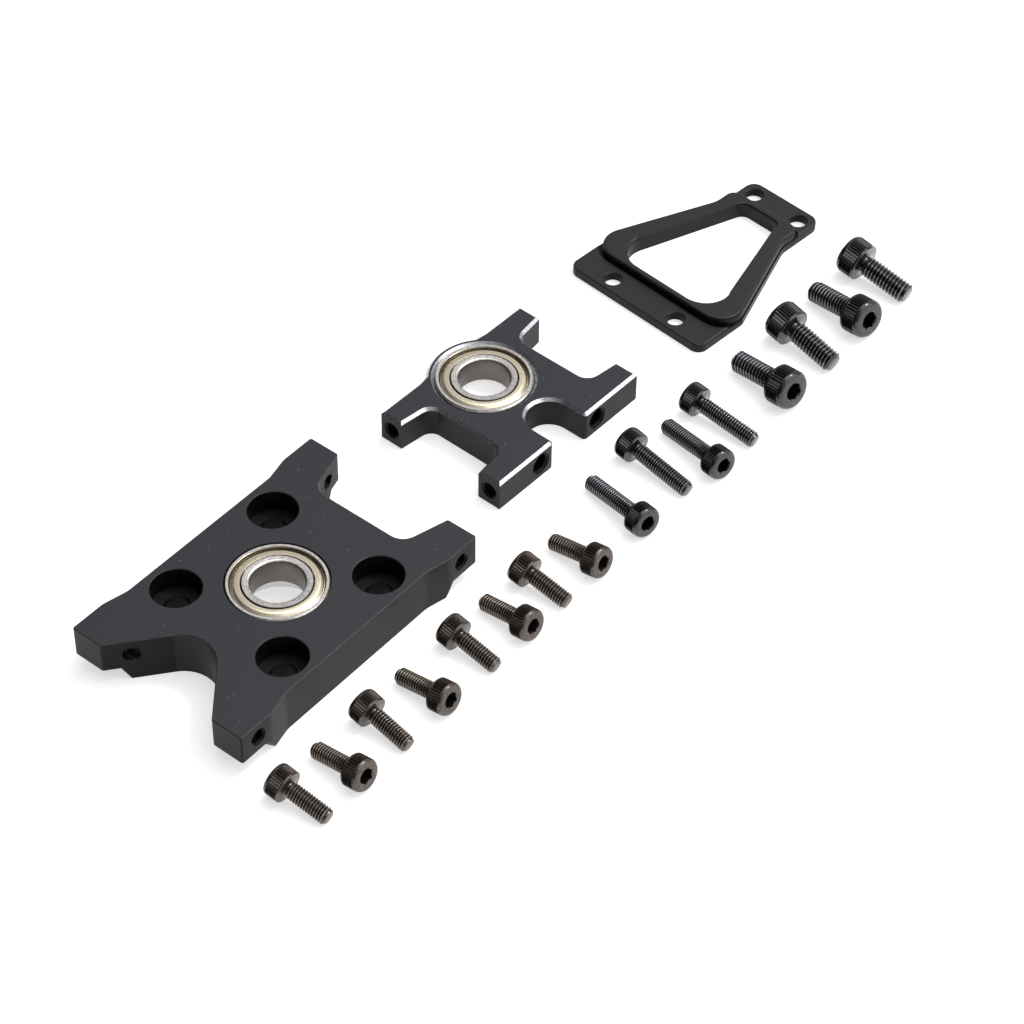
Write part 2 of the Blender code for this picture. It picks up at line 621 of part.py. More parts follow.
def main():
    """Build every piece of the kit."""
    clear_scene()
    parts = make_collection("bearing_block_kit")
    cutters = make_collection("cutters")
    anodised = make_material("black_anodised_aluminium", (0.035, 0.035, 0.04), 0.6, 0.5)
    satin = make_material("satin_black_plate", (0.045, 0.045, 0.05), 0.5, 0.45)
    matt_oxide = make_material("matt_black_oxide_steel", (0.035, 0.03, 0.027), 0.8, 0.45)
    gloss_oxide = make_material("gloss_black_oxide_steel", (0.02, 0.02, 0.022), 0.9, 0.25)
    bearing_materials = {
        "ring": make_material("ground_bearing_steel", (0.6, 0.6, 0.6), 1.0, 0.25),
        "ball": make_material("polished_ball_steel", (0.75, 0.75, 0.77), 1.0, 0.08),
        "cage": make_material("pressed_cage_steel", (0.5, 0.48, 0.42), 1.0, 0.4),
        "shield": make_material("plated_shield_steel", (0.62, 0.55, 0.4), 1.0, 0.3),
        "snap_ring": make_material("spring_wire_steel", (0.25, 0.24, 0.22), 1.0, 0.35),
    }

    layout = add_empty("layout", parts)
    upper = add_empty("upper_block_place", parts, (*UPPER_AT, 0.0), UPPER_TURN, layout)
    brace = add_empty("brace_plate_place", parts, (*PLATE_AT, 0.0), PLATE_TURN, layout)
    lower_axis = add_empty("lower_bearing_axis", parts,
                           (0.0, 0.0, LOWER_HEIGHT - BEARING_WIDTH / 2.0), 0.0, layout)
    upper_axis = add_empty("upper_bearing_axis", parts,
                           (0.0, 0.0, UPPER_HEIGHT - BEARING_WIDTH / 2.0), 0.0, upper)

    make_lower_block(parts, cutters, anodised, layout)
    make_upper_block(parts, cutters, anodised, upper)
    make_brace_plate(parts, cutters, satin, brace)
    make_bearing("lower_bearing", parts, cutters, bearing_materials, lower_axis)
    make_bearing("upper_bearing", parts, cutters, bearing_materials, upper_axis)
    make_screws("short_screw", parts, cutters, matt_oxide, layout)
    make_screws("long_screw", parts, cutters, gloss_oxide, layout)
    make_screws("large_screw", parts, cutters, gloss_oxide, layout)
    centre_on_origin(layout, parts)


main()
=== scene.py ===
"""Shaft bearing block kit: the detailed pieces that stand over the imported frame.

Two black anodised bearing blocks with shielded ball bearings, a windowed brace
plate and sixteen knurled socket cap screws lie on a pale table. Every piece is
modelled in millimetres about its own centre, then laid where the frame's node is.
"""

from __future__ import annotations

import logging
import math
from collections.abc import Callable, Iterator
from contextlib import contextmanager
from dataclasses import dataclass
from enum import Enum

import bmesh
import bpy
from mathutils import Euler, Matrix, Vector


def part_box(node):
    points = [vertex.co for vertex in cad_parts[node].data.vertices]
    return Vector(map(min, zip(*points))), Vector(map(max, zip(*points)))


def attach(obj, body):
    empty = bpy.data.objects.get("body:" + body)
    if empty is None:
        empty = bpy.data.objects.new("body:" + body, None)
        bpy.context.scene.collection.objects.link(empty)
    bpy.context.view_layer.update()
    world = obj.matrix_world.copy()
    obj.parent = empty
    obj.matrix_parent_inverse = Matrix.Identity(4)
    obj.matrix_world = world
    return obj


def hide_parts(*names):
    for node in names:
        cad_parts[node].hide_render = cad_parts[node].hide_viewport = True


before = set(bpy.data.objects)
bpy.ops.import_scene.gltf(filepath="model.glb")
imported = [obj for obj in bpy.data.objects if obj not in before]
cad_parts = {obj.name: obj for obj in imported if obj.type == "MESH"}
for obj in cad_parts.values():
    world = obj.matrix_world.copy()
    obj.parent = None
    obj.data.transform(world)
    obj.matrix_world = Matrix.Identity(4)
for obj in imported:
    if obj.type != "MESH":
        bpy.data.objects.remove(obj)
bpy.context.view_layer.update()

LOG = logging.getLogger("bearing_block_kit")
MM = 0.001
FULL_TURN = 2.0 * math.pi
SHARP_ANGLE = math.radians(30.0)
FILLET_STEP = math.radians(7.5)
# How far a cutting tool reaches past the face that it cuts, in millimetres.
PAST = 1.0
ROUND_STEPS = 96
HOLE_STEPS = 48

# A thread's flank: flat over the crest, then an even fall to a flat root.
FLANK_TOP = 1.2
FLANK_FALL = 1.6

Corner = tuple[float, float, float]
Point = tuple[float, float]


class Slot(Enum):
    """Material slots of the record, one for each kind of piece."""

    BLOCK = "anodised_block"
    PLATE = "anodised_plate"
    RING = "bearing_steel"
    BALL = "ball_steel"
    CAGE = "cage_steel"
    SHIELD = "shield_steel"
    WIRE = "snap_ring_steel"
    MATT_SCREW = "matt_screw_steel"
    GLOSS_SCREW = "gloss_screw_steel"


# --- Bench work: small helpers round the modelling operators ------------------


def deselect_everything() -> None:
    """Leave nothing selected, so that the next operator touches only its own piece."""
    bpy.ops.object.select_all(action="DESELECT")


def hold(piece: bpy.types.Object) -> None:
    """Make one piece the only selected and the active object.

    Args:
        piece: The object that the next operators work on.
    """
    deselect_everything()
    piece.select_set(True)
    bpy.context.view_layer.objects.active = piece


@contextmanager
def editing(piece: bpy.types.Object, elements: str = "VERT") -> Iterator[None]:
    """Open a piece in edit mode with all of it selected.

    Args:
        piece: The object to edit.
        elements: VERT, EDGE or FACE.
    """
    hold(piece)
    bpy.ops.object.mode_set(mode="EDIT")
    bpy.ops.mesh.select_mode(type=elements)
    bpy.ops.mesh.select_all(action="SELECT")
    yield
    bpy.ops.object.mode_set(mode="OBJECT")


def pick_edges(piece: bpy.types.Object, wanted: Callable[[Vector, Vector], bool]) -> None:
    """In edit mode, select the edges whose two ends pass a test.

    Args:
        piece: The object in edit mode.
        wanted: Test of an edge's two end points.
    """
    bpy.ops.mesh.select_all(action="DESELECT")
    shape = bmesh.from_edit_mesh(piece.data)
    for edge in shape.edges:
        edge.select_set(wanted(edge.verts[0].co, edge.verts[1].co))
    bmesh.update_edit_mesh(piece.data)


def arc_corners(corners: list[Corner]) -> list[Point]:
    """Turn (x, y, radius) corners into the points of an outline with true arcs.

    Args:
        corners: The outline's corners in order; radius 0 leaves a corner sharp.

    Returns:
        The outline's points.
    """
    points: list[Point] = []
    for index, (x, y, radius) in enumerate(corners):
        here = Vector((x, y))
        if radius <= 0.0:
            points.append((x, y))
            continue
        before = (Vector(corners[index - 1][:2]) - here).normalized()
        after = (Vector(corners[(index + 1) % len(corners)][:2]) - here).normalized()
        half_angle = before.angle(after) / 2.0
        reach = radius / math.tan(half_angle)
        centre = here + (before + after).normalized() * (radius / math.sin(half_angle))
        start = here + before * reach - centre
        sweep = start.angle_signed(here + after * reach - centre)
        steps = max(3, math.ceil(abs(sweep) / FILLET_STEP))
        for step in range(steps + 1):
            arm = Matrix.Rotation(-sweep * step / steps, 2) @ start
            points.append((centre.x + arm.x, centre.y + arm.y))
    return points


def mirrored(right_half: list[Corner]) -> list[Corner]:
    """Close an outline that is symmetric about x = 0.

    Args:
        right_half: The corners on the +x side, run counter-clockwise.

    Returns:
        All the corners.
    """
    return right_half + [(-x, y, r) for x, y, r in reversed(right_half) if abs(x) > 1e-6]


def drawn(name: str, points: list[Vector]) -> bpy.types.Object:
    """Draw a line of points one extrusion at a time; the last may close on the first.

    Args:
        name: The piece's name.
        points: The line's points.

    Returns:
        The new object, a chain of edges.
    """
    deselect_everything()
    bpy.ops.mesh.primitive_plane_add(size=1.0)
    piece = bpy.context.active_object
    piece.name = name
    with editing(piece):
        bpy.ops.mesh.merge(type="CENTER")
        bpy.ops.transform.translate(value=points[0])
        for here, there in zip(points, points[1:]):
            bpy.ops.mesh.extrude_vertices_move(TRANSFORM_OT_translate={"value": there - here})
        bpy.ops.mesh.select_all(action="SELECT")
        bpy.ops.mesh.remove_doubles(threshold=1e-4)
    return piece


def slab(name: str, points: list[Point], low: float, high: float) -> bpy.types.Object:
    """Fill an outline and extrude it from one height to another.

    Args:
        name: The piece's name.
        points: The outline.
        low: Height of the underside.
        high: Height of the top.

    Returns:
        The new object.
    """
    piece = drawn(name, [Vector((x, y, low)) for x, y in points + points[:1]])
    with editing(piece, "EDGE"):
        bpy.ops.mesh.edge_face_add()
        bpy.ops.mesh.extrude_region_move(TRANSFORM_OT_translate={"value": (0.0, 0.0, high - low)})
        bpy.ops.mesh.select_all(action="SELECT")
        bpy.ops.mesh.normals_make_consistent(inside=False)
    return piece


def turned(name: str, profile: list[Point], steps: int, ring: bool = False) -> bpy.types.Object:
    """Draw a profile and spin it round Z, as on a lathe.

    Args:
        name: The piece's name.
        profile: (radius, height) points, from the axis to the axis or round a section.
        steps: How many steps the full turn takes.
        ring: Whether the profile is a section that closes on itself.

    Returns:
        The new object.
    """
    path = profile + profile[:1] if ring else profile
    piece = drawn(name, [Vector((radius, 0.0, height)) for radius, height in path])
    with editing(piece):
        bpy.ops.mesh.spin(steps=steps, angle=FULL_TURN, center=(0.0, 0.0, 0.0), axis=(0.0, 0.0, 1.0))
        bpy.ops.mesh.select_all(action="SELECT")
        bpy.ops.mesh.remove_doubles(threshold=1e-4)
        bpy.ops.mesh.dissolve_degenerate(threshold=1e-5)
        bpy.ops.mesh.select_all(action="SELECT")
        bpy.ops.mesh.normals_make_consistent(inside=False)
    return piece


def combine(piece: bpy.types.Object, tool: bpy.types.Object, operation: str = "DIFFERENCE") -> None:
    """Cut a tool out of a piece, or join it on, and throw the tool away.

    Args:
        piece: The object that is kept.
        tool: The object that is used up.
        operation: DIFFERENCE or UNION.
    """
    hold(piece)
    modifier = piece.modifiers.new("machining", "BOOLEAN")
    modifier.operation = operation
    modifier.solver = "EXACT"
    modifier.object = tool
    bpy.ops.object.modifier_apply(modifier=modifier.name)
    bpy.data.objects.remove(tool, do_unlink=True)


def chamfer(piece: bpy.types.Object, width: float, wanted: Callable[[Vector, Vector], bool],
            segments: int = 1) -> None:
    """Bevel the edges that pass a test.

    Args:
        piece: The object.
        width: How far the bevel reaches along each face.
        wanted: Test of an edge's two end points.
        segments: 1 for a flat chamfer, more for a round.
    """
    with editing(piece, "EDGE"):
        pick_edges(piece, wanted)
        bpy.ops.mesh.bevel(offset=width, segments=segments, affect="EDGES", clamp_overlap=False)


def level(height: float) -> Callable[[Vector, Vector], bool]:
    """Test for edges that lie at one height."""
    return lambda a, b: abs(a.z - height) < 1e-3 and abs(b.z - height) < 1e-3


def turn_and_apply(piece: bpy.types.Object, at: Vector, turn: Euler, scale: float = 1.0) -> None:
    """Give a piece its place and size, and put them in its mesh.

    Args:
        piece: The object.
        at: Where its own origin goes.
        turn: How it is turned.
        scale: Its scale.
    """
    piece.location = at
    piece.rotation_euler = turn
    piece.scale = (scale, scale, scale)
    hold(piece)
    bpy.ops.object.transform_apply(location=True, rotation=True, scale=True)


def smooth(piece: bpy.types.Object) -> None:
    """Shade a piece smooth, with its real edges sharp."""
    hold(piece)
    bpy.ops.object.shade_smooth_by_angle(angle=SHARP_ANGLE)


def copy_of(pattern: bpy.types.Object, name: str) -> bpy.types.Object:
    """Copy a pattern piece, mesh and all.

    Args:
        pattern: The piece to copy.
        name: The copy's name.

    Returns:
        The copy.
    """
    piece = pattern.copy()
    piece.data = pattern.data.copy()
    piece.name = name
    bpy.context.scene.collection.objects.link(piece)
    return piece


def dress(piece: bpy.types.Object, finishes: list[bpy.types.Material],
          choose: Callable[[Vector, Vector], int] | None = None) -> None:
    """Put finishes on a piece, face by face.

    Args:
        piece: The object.
        finishes: Its materials, in slot order.
        choose: Picks a slot from a face's centre and normal; without it all faces take the first.
    """
    piece.data.materials.clear()
    for finish in finishes:
        piece.data.materials.append(finish)
    for face in piece.data.polygons:
        face.material_index = choose(face.center, face.normal) if choose else 0


def hand_over(piece: bpy.types.Object, body: str, slot: Slot, node: str) -> None:
    """Tie a finished piece to the frame and report it.

    Args:
        piece: The finished piece.
        body: The body that it moves with.
        slot: The record's material slot; not used.
        node: The frame node that it stands for.
    """
    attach(piece, body)
    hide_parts(node)
    LOG.info("%s: %d faces, rides on %s", piece.name, len(piece.data.polygons), body)


def centre_of(node: str) -> Vector:
    """Centre of a frame node's box, in metres."""
    low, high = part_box(node)
    return (low + high) / 2.0


# --- Finishes -----------------------------------------------------------------


def linear(colour: str) -> tuple[float, float, float, float]:
    """Turn an sRGB hex colour into linear light.

    Args:
        colour: Six hex digits.

    Returns:
        Red, green, blue and alpha.
    """
    shares = [int(colour[start:start + 2], 16) / 255.0 for start in (0, 2, 4)]
    light = [s / 12.92 if s <= 0.04045 else ((s + 0.055) / 1.055) ** 2.4 for s in shares]
    return (light[0], light[1], light[2], 1.0)


def add_node(tree: bpy.types.NodeTree, kind: str, settings: dict | None = None,
             sockets: dict | None = None) -> bpy.types.Node:
    """Add a node, set its properties, and fill or link its input sockets.

    Args:
        tree: The node tree.
        kind: The node's type name.
        settings: Property values by name.
        sockets: Values, or output sockets to link from, by input name or number.

    Returns:
        The new node.
    """
    node = tree.nodes.new(kind)
    for key, value in (settings or {}).items():
        setattr(node, key, value)
    for key, value in (sockets or {}).items():
        if isinstance(value, bpy.types.NodeSocket):
            tree.links.new(value, node.inputs[key])
        else:
            node.inputs[key].default_value = value
    return node


@dataclass(frozen=True)
class Finish:
    """A metal surface: its colour, its sheen and what breaks it up.

    Lengths are in millimetres. grain is the size of the mottling or of the tool
    marks, and stretch draws it out along X, Y or Z.
    """

    name: str
    colour: str
    second_colour: str
    metallic: float
    roughness: float
    roughness_swing: float = 0.08
    grain: float = 0.3
    stretch: tuple[float, float, float] = (1.0, 1.0, 1.0)
    relief: float = 0.01
    contrast: float = 0.5
    coat: float = 0.0
    specular: float = 0.5
    glow: float = 0.0

    def start(self) -> tuple[bpy.types.Material, bpy.types.NodeTree, bpy.types.Node]:
        """Make the material with its shader and constant sockets.

        Returns:
            The material, its tree and its Principled shader.
        """
        material = bpy.data.materials.new(self.name)
        material.use_nodes = True
        tree = material.node_tree
        tree.nodes.clear()
        shader = add_node(tree, "ShaderNodeBsdfPrincipled", sockets={
            "Metallic": self.metallic, "Coat Weight": self.coat, "Coat Roughness": 0.12,
            "Specular IOR Level": self.specular, "Emission Color": (1.0, 1.0, 1.0, 1.0),
            "Emission Strength": self.glow})
        add_node(tree, "ShaderNodeOutputMaterial", sockets={"Surface": shader.outputs["BSDF"]})
        return material, tree, shader

    def pattern(self, tree: bpy.types.NodeTree) -> bpy.types.NodeSocket:
        """The value from 0 to 1 that mottles the surface, read in millimetres.

        Args:
            tree: The material's nodes.

        Returns:
            The value.
        """
        place = add_node(tree, "ShaderNodeTexCoord")
        ruler = add_node(tree, "ShaderNodeMapping", sockets={
            "Vector": place.outputs["Object"],
            "Scale": tuple(1.0 / (MM * share) for share in self.stretch)})
        noise = add_node(tree, "ShaderNodeTexNoise", sockets={
            "Vector": ruler.outputs["Vector"], "Scale": 1.0 / self.grain, "Detail": 4.0, "Roughness": 0.6})
        return noise.outputs["Fac"]

    def build(self) -> bpy.types.Material:
        """Make the whole material.

        Returns:
            The material.
        """
        material, tree, shader = self.start()
        value = self.pattern(tree)
        spread = add_node(tree, "ShaderNodeMapRange", sockets={
            "Value": value, "From Min": 0.5 - self.contrast / 2.0, "From Max": 0.5 + self.contrast / 2.0})
        blend = add_node(tree, "ShaderNodeMix", {"data_type": "RGBA"}, {
            0: spread.outputs["Result"], 6: linear(self.colour), 7: linear(self.second_colour)})
        colour = self.over(tree, blend.outputs[2])
        sheen = add_node(tree, "ShaderNodeMapRange", sockets={
            "Value": value, "To Min": self.roughness - self.roughness_swing,
            "To Max": self.roughness + self.roughness_swing})
        relief = add_node(tree, "ShaderNodeBump", sockets={
            "Height": value, "Strength": 0.6, "Distance": self.relief * MM})
        tree.links.new(colour, shader.inputs["Base Color"])
        tree.links.new(sheen.outputs["Result"], shader.inputs["Roughness"])
        tree.links.new(relief.outputs["Normal"], shader.inputs["Normal"])
        return material

    def over(self, tree: bpy.types.NodeTree, colour: bpy.types.NodeSocket) -> bpy.types.NodeSocket:
        """Lay anything over the colour; a plain finish lays nothing."""
        return colour


@dataclass(frozen=True)
class DustedFinish(Finish):
    """A dark blasted surface with a few pale specks of dust caught in it."""

    dust_colour: str = "8c8c90"
    dust_spacing: float = 1.9
    dust_size: float = 0.13

    def over(self, tree: bpy.types.NodeTree, colour: bpy.types.NodeSocket) -> bpy.types.NodeSocket:
        """Scatter the specks over the colour.

        Args:
            tree: The material's nodes.
            colour: The colour underneath.

        Returns:
            The mixed colour.
        """
        place = add_node(tree, "ShaderNodeTexCoord")
        ruler = add_node(tree, "ShaderNodeMapping", sockets={
            "Vector": place.outputs["Object"], "Scale": (1.0 / MM, 1.0 / MM, 1.0 / MM)})
        specks = add_node(tree, "ShaderNodeTexVoronoi", {"feature": "F1"}, {
            "Vector": ruler.outputs["Vector"], "Scale": 1.0 / self.dust_spacing})
        near = add_node(tree, "ShaderNodeMapRange", sockets={
            "Value": specks.outputs["Distance"], "From Min": self.dust_size / self.dust_spacing,
            "From Max": self.dust_size / self.dust_spacing / 3.0, "To Min": 0.0, "To Max": 0.65})
        blend = add_node(tree, "ShaderNodeMix", {"data_type": "RGBA"}, {
            0: near.outputs["Result"], 6: colour, 7: linear(self.dust_colour)})
        return blend.outputs[2]


@dataclass(frozen=True)
class CrestWearPaintedLightFinish(Finish):
    """Oxide paler on sharp crests, partly wear and partly painted highlight, and near black in the roots,
    painted shade.
    """

    crest_colour: str = "8a7d72"

    def over(self, tree: bpy.types.NodeTree, colour: bpy.types.NodeSocket) -> bpy.types.NodeSocket:
        """Pale the sharply convex places, partly wear and partly painted highlight, and blacken the hollow
        ones with painted shade.

        Args:
            tree: The material's nodes.
            colour: The colour underneath.

        Returns:
            The mixed colour.
        """
        # Crests paler (partly wear, partly painted highlight), roots near black (painted shade).
        shape = add_node(tree, "ShaderNodeNewGeometry")
        crest = add_node(tree, "ShaderNodeMapRange", sockets={
            "Value": shape.outputs["Pointiness"], "From Min": 0.5, "From Max": 0.6})
        root = add_node(tree, "ShaderNodeMapRange", sockets={
            "Value": shape.outputs["Pointiness"], "From Min": 0.49, "From Max": 0.4})
        paler = add_node(tree, "ShaderNodeMix", {"data_type": "RGBA"}, {
            0: crest.outputs["Result"], 6: colour, 7: linear(self.crest_colour)})
        darker = add_node(tree, "ShaderNodeMix", {"data_type": "RGBA"}, {
            0: root.outputs["Result"], 6: paler.outputs[2], 7: linear("050505")})
        return darker.outputs[2]


@dataclass(frozen=True)
class TurnedFinish(Finish):
    """A lathe-turned surface: fine rings round one upright axis."""

    axis_x: float = 0.0
    axis_y: float = 0.0
    patch: float = 0.55
    patch_share: float = 0.5

    def pattern(self, tree: bpy.types.NodeTree) -> bpy.types.NodeSocket:
        """Rings of uneven depth, from the distance to the axis in millimetres.

        Args:
            tree: The material's nodes.

        Returns:
            The value.
        """
        place = add_node(tree, "ShaderNodeTexCoord")
        centred = add_node(tree, "ShaderNodeMapping", sockets={
            "Vector": place.outputs["Object"], "Location": (-self.axis_x / MM, -self.axis_y / MM, 0.0),
            "Scale": (1.0 / MM, 1.0 / MM, 0.0)})
        radius = add_node(tree, "ShaderNodeVectorMath", {"operation": "LENGTH"}, {
            0: centred.outputs["Vector"]})
        rings = add_node(tree, "ShaderNodeTexNoise", {"noise_dimensions": "1D"}, {
            "W": radius.outputs["Value"], "Scale": 1.0 / self.grain, "Detail": 3.0, "Roughness": 0.65})
        patches = add_node(tree, "ShaderNodeTexNoise", sockets={
            "Vector": centred.outputs["Vector"], "Scale": 1.0 / self.patch, "Detail": 4.0, "Roughness": 0.7})
        blend = add_node(tree, "ShaderNodeMix", sockets={
            0: self.patch_share, 2: rings.outputs["Fac"], 3: patches.outputs["Fac"]})
        return blend.outputs[0]


def make_finishes() -> dict[str, bpy.types.Material]:
    """Returns:
        The materials by the name that the pieces ask for.
    """
    finishes = {
        # Bead-blasted black anodise: satin slate black, with no direction and a few dust specks.
        # The blasting is about 0.1 mm; it is drawn at 0.28 mm so that it shows at all.
        "block_face": DustedFinish("blasted_black_anodised_aluminium", "18181d", "1f1f25", 0.0, 0.46,
                                   grain=0.28, relief=0.012, specular=0.42),
        # The same anodise over milled walls: streaks that run round the block, and a browner, darker black
        # that is partly painted shade on the steep sides.
        "block_wall": Finish("milled_black_anodised_wall_painted_shade", "0c0c0b", "1d1c1a", 0.0, 0.44,
                             grain=0.35, stretch=(14.0, 14.0, 1.0), relief=0.012, specular=0.17),
        # Handled edges: the anodise is rubbed thin, so bare grey shows here and there.
        "block_edge": Finish("rubbed_black_anodised_edge", "17171a", "333337", 0.1, 0.44,
                             grain=0.9, relief=0.004, contrast=0.3),
        # Edges cut after anodising: bare aluminium with bright cutter marks, like a ribbon of mirror.
        "bright_cut": Finish("bright_cut_aluminium", "8f9096", "e2e3e8", 1.0, 0.26,
                             grain=0.3, relief=0.008, roughness_swing=0.1),
        # The lip's wall under each bearing: smooth, evenly bright near-white metal, painted light where the
        # wall lies in shade down the bore.
        "painted_light_lip": Finish("painted_light_lip_metal", "d6d6d8", "e4e4e5", 1.0, 0.4, grain=0.5,
                           stretch=(9.0, 9.0, 1.0), relief=0.002, contrast=1.0),
        # Drilled and tapped walls, the seat's wall in the lower block and the plate's groove floor: near
        # black that hardly reflects, painted shade inside these recesses.
        "hole": Finish("tapped_hole_black_painted_shade", "060606", "0d0d0c", 0.0, 0.42,
                       grain=0.3, relief=0.004, specular=0.12),
        # Fine-blasted anodise of the plate: closer and softer than the blocks' face.
        "plate_face": DustedFinish("satin_black_anodised_aluminium", "161617", "1c1c1e", 0.0, 0.44,
                                   grain=0.22, relief=0.006, dust_spacing=4.5, dust_size=0.13, specular=0.3),
        # The plate's steep faces: the same anodise over a finer cutter finish, darker, partly painted shade.
        "plate_wall": Finish("edge_milled_black_anodised_plate_painted_shade", "0d0d0d", "181817", 0.0, 0.42, grain=0.3,
                             stretch=(8.0, 8.0, 1.0), relief=0.006, specular=0.17),
        # Hardened chrome steel balls, lapped to a mirror.
        "ball": Finish("lapped_chrome_steel", "cfd0d4", "d8d9dc", 1.0, 0.06, grain=1.0, relief=0.0005,
                       roughness_swing=0.02),
        # Pressed low-carbon steel of the cage, dull with an oily tint.
        "cage": Finish("pressed_cage_steel", "8f8a78", "a39d8a", 1.0, 0.38, grain=0.6, relief=0.003),
        # Honed bore and the races' hidden walls: darker steel, painted shade in the bore and between the
        # races, with fine level scratches.
        "bore": Finish("honed_bore_steel_painted_shade", "5f5c59", "787470", 1.0, 0.36, grain=0.35, stretch=(9.0, 9.0, 1.0),
                       relief=0.001, contrast=1.0),
        # Drawn spring wire of the ring that holds the shield: darker than the race.
        "wire": Finish("drawn_spring_steel", "3f392f", "6d6455", 1.0, 0.3, grain=0.4, relief=0.002),
        # Dry black oxide on steel: brownish black with a dull sheen; the near-black socket finish is painted
        # shade in the sockets and the thread's roots.
        "matt_oxide": Finish("dry_black_oxide_steel", "3a3431", "6b625b", 0.85, 0.29, grain=0.5,
                             relief=0.006),
        "matt_socket": Finish("dry_black_oxide_socket_painted_shade", "0b0a09", "141210", 0.3, 0.5, grain=0.4,
                              relief=0.004),
        # The same oxide on thread and knurl: crests paler brown, partly wear where they catch a hand and
        # partly painted highlight, roots near black with painted shade.
        "matt_rubbed": CrestWearPaintedLightFinish("dry_black_oxide_worn_lit_crests_shaded_roots", "332e2b", "5c544e", 0.85, 0.3, grain=0.5,
                                    relief=0.006, crest_colour="9a8d81"),
        # Oiled black oxide on steel: deep neutral black with sharp highlights under an oil film.
        "gloss_oxide": Finish("oiled_black_oxide_steel", "1d1d20", "3a3a3e", 0.8, 0.2, grain=0.6,
                              relief=0.003, coat=0.6),
        # Near black, painted shade in the sockets and the thread's roots.
        "gloss_socket": Finish("oiled_black_oxide_socket_painted_shade", "050505", "0b0b0c", 0.3, 0.35, grain=0.4,
                               relief=0.003),
        # Paler crests, partly wear and partly painted highlight, and painted shade in the roots.
        "gloss_rubbed": CrestWearPaintedLightFinish("oiled_black_oxide_worn_lit_crests_shaded_roots", "1a1a1d", "303034", 0.8, 0.2, grain=0.6,
                                     relief=0.003, coat=0.6, crest_colour="85858a"),
        # Opal acrylic lit from below: no pattern that the eye can find, and hardly any shadow.
        "table": Finish("backlit_opal_acrylic", "cdcdcd", "d1d1d1", 0.0, 0.9, grain=4.0, relief=0.002,
                        glow=0.58),
    }
    built = {key: finish.build() for key, finish in finishes.items()}
    for side in ("lower", "upper"):
        axis = centre_of(f"{side}_bearing_outer_ring")
        # Ground bearing steel: bright grey with the grinding's fine rings, 0.15 mm apart to show.
        ring = TurnedFinish(f"ground_bearing_steel_{side}", "948e88", "f6f2ec", 1.0, 0.3, grain=0.15,
                            contrast=0.3, relief=0.004, axis_x=axis.x, axis_y=axis.y)
        # Yellow-passivated plate on the pressed shield: pale champagne, brushed in rings.
        shield = TurnedFinish(f"champagne_plated_steel_{side}", "ccbfa1", "ebe1ca", 1.0, 0.26, grain=0.16,
                              relief=0.004, axis_x=axis.x, axis_y=axis.y)
        built[f"ring_{side}"] = ring.build()
        built[f"shield_{side}"] = shield.build()
    return built


# --- Holes --------------------------------------------------------------------


@dataclass(frozen=True)
class TappedHole:
    """A blind or through tapped hole, cut from its mouth at z = 0 downwards."""

    drill_r: float
    thread_r: float
    mouth_r: float
    pitch: float
    depth: float
    rows_per_pitch: int = 6

    def cutter(self, name: str) -> bpy.types.Object:
        """Make the tool that cuts the countersink, the thread and the drill point.

        Args:
            name: The tool's name.

        Returns:
            The tool, its axis along Z.
        """
        sink = self.mouth_r - self.drill_r
        rows = round((self.depth - sink) / self.pitch * self.rows_per_pitch)
        profile = [(0.0, PAST), (self.mouth_r, PAST), (self.mouth_r, 0.0)]
        profile += [(self.drill_r, -sink - self.pitch * row / self.rows_per_pitch) for row in range(rows)]
        profile.append((0.0, -self.depth - self.drill_r * 0.6))
        tool = turned(name, profile, HOLE_STEPS)
        roll_thread(tool, self.drill_r, self.thread_r, self.pitch, -sink - self.pitch,
                    self.pitch - self.depth)
        return tool


def roll_thread(piece: bpy.types.Object, root: float, crest: float, pitch: float,
                start: float, end: float) -> None:
    """Push the rows of a plain shank out into a helical thread.

    Args:
        piece: A turned piece with several rows of vertices to each pitch.
        root: Radius of the shank before rolling.
        crest: Radius at the thread's crest.
        pitch: Height of one turn.
        start: Height where the thread starts, above end.
        end: Height where it runs out.
    """
    for vertex in piece.data.vertices:
        x, y, z = vertex.co
        radius = math.hypot(x, y)
        if abs(radius - root) > 1e-3 or not end <= z <= start:
            continue
        phase = (z / pitch - math.atan2(y, x) / FULL_TURN) % 1.0
        flank = min(1.0, max(0.0, FLANK_TOP - FLANK_FALL * abs(2.0 * phase - 1.0)))
        share = (root + (crest - root) * flank) / radius
        vertex.co.x = x * share
        vertex.co.y = y * share


# --- Blocks and plate ---------------------------------------------------------


@dataclass
class BearingSeat:
    """Counterbore that takes a bearing, with a lip under its outer ring."""

    seat_r: float = 8.6
    mouth_r: float = 8.72
    depth: float = 5.1
    lip_r: float = 7.0

    def cut(self, block: bpy.types.Object, height: float) -> None:
        """Cut the seat down from the block's top.

        Args:
            block: The block.
            height: The block's height.
        """
        flare = self.mouth_r - self.seat_r
        profile = [
            (0.0, height + PAST), (self.mouth_r, height + PAST), (self.mouth_r, height),
            (self.seat_r, height - flare), (self.seat_r, height - self.depth),
            (self.lip_r, height - self.depth), (self.lip_r, -PAST), (0.0, -PAST)]
        combine(block, turned("seat_tool", profile, ROUND_STEPS))


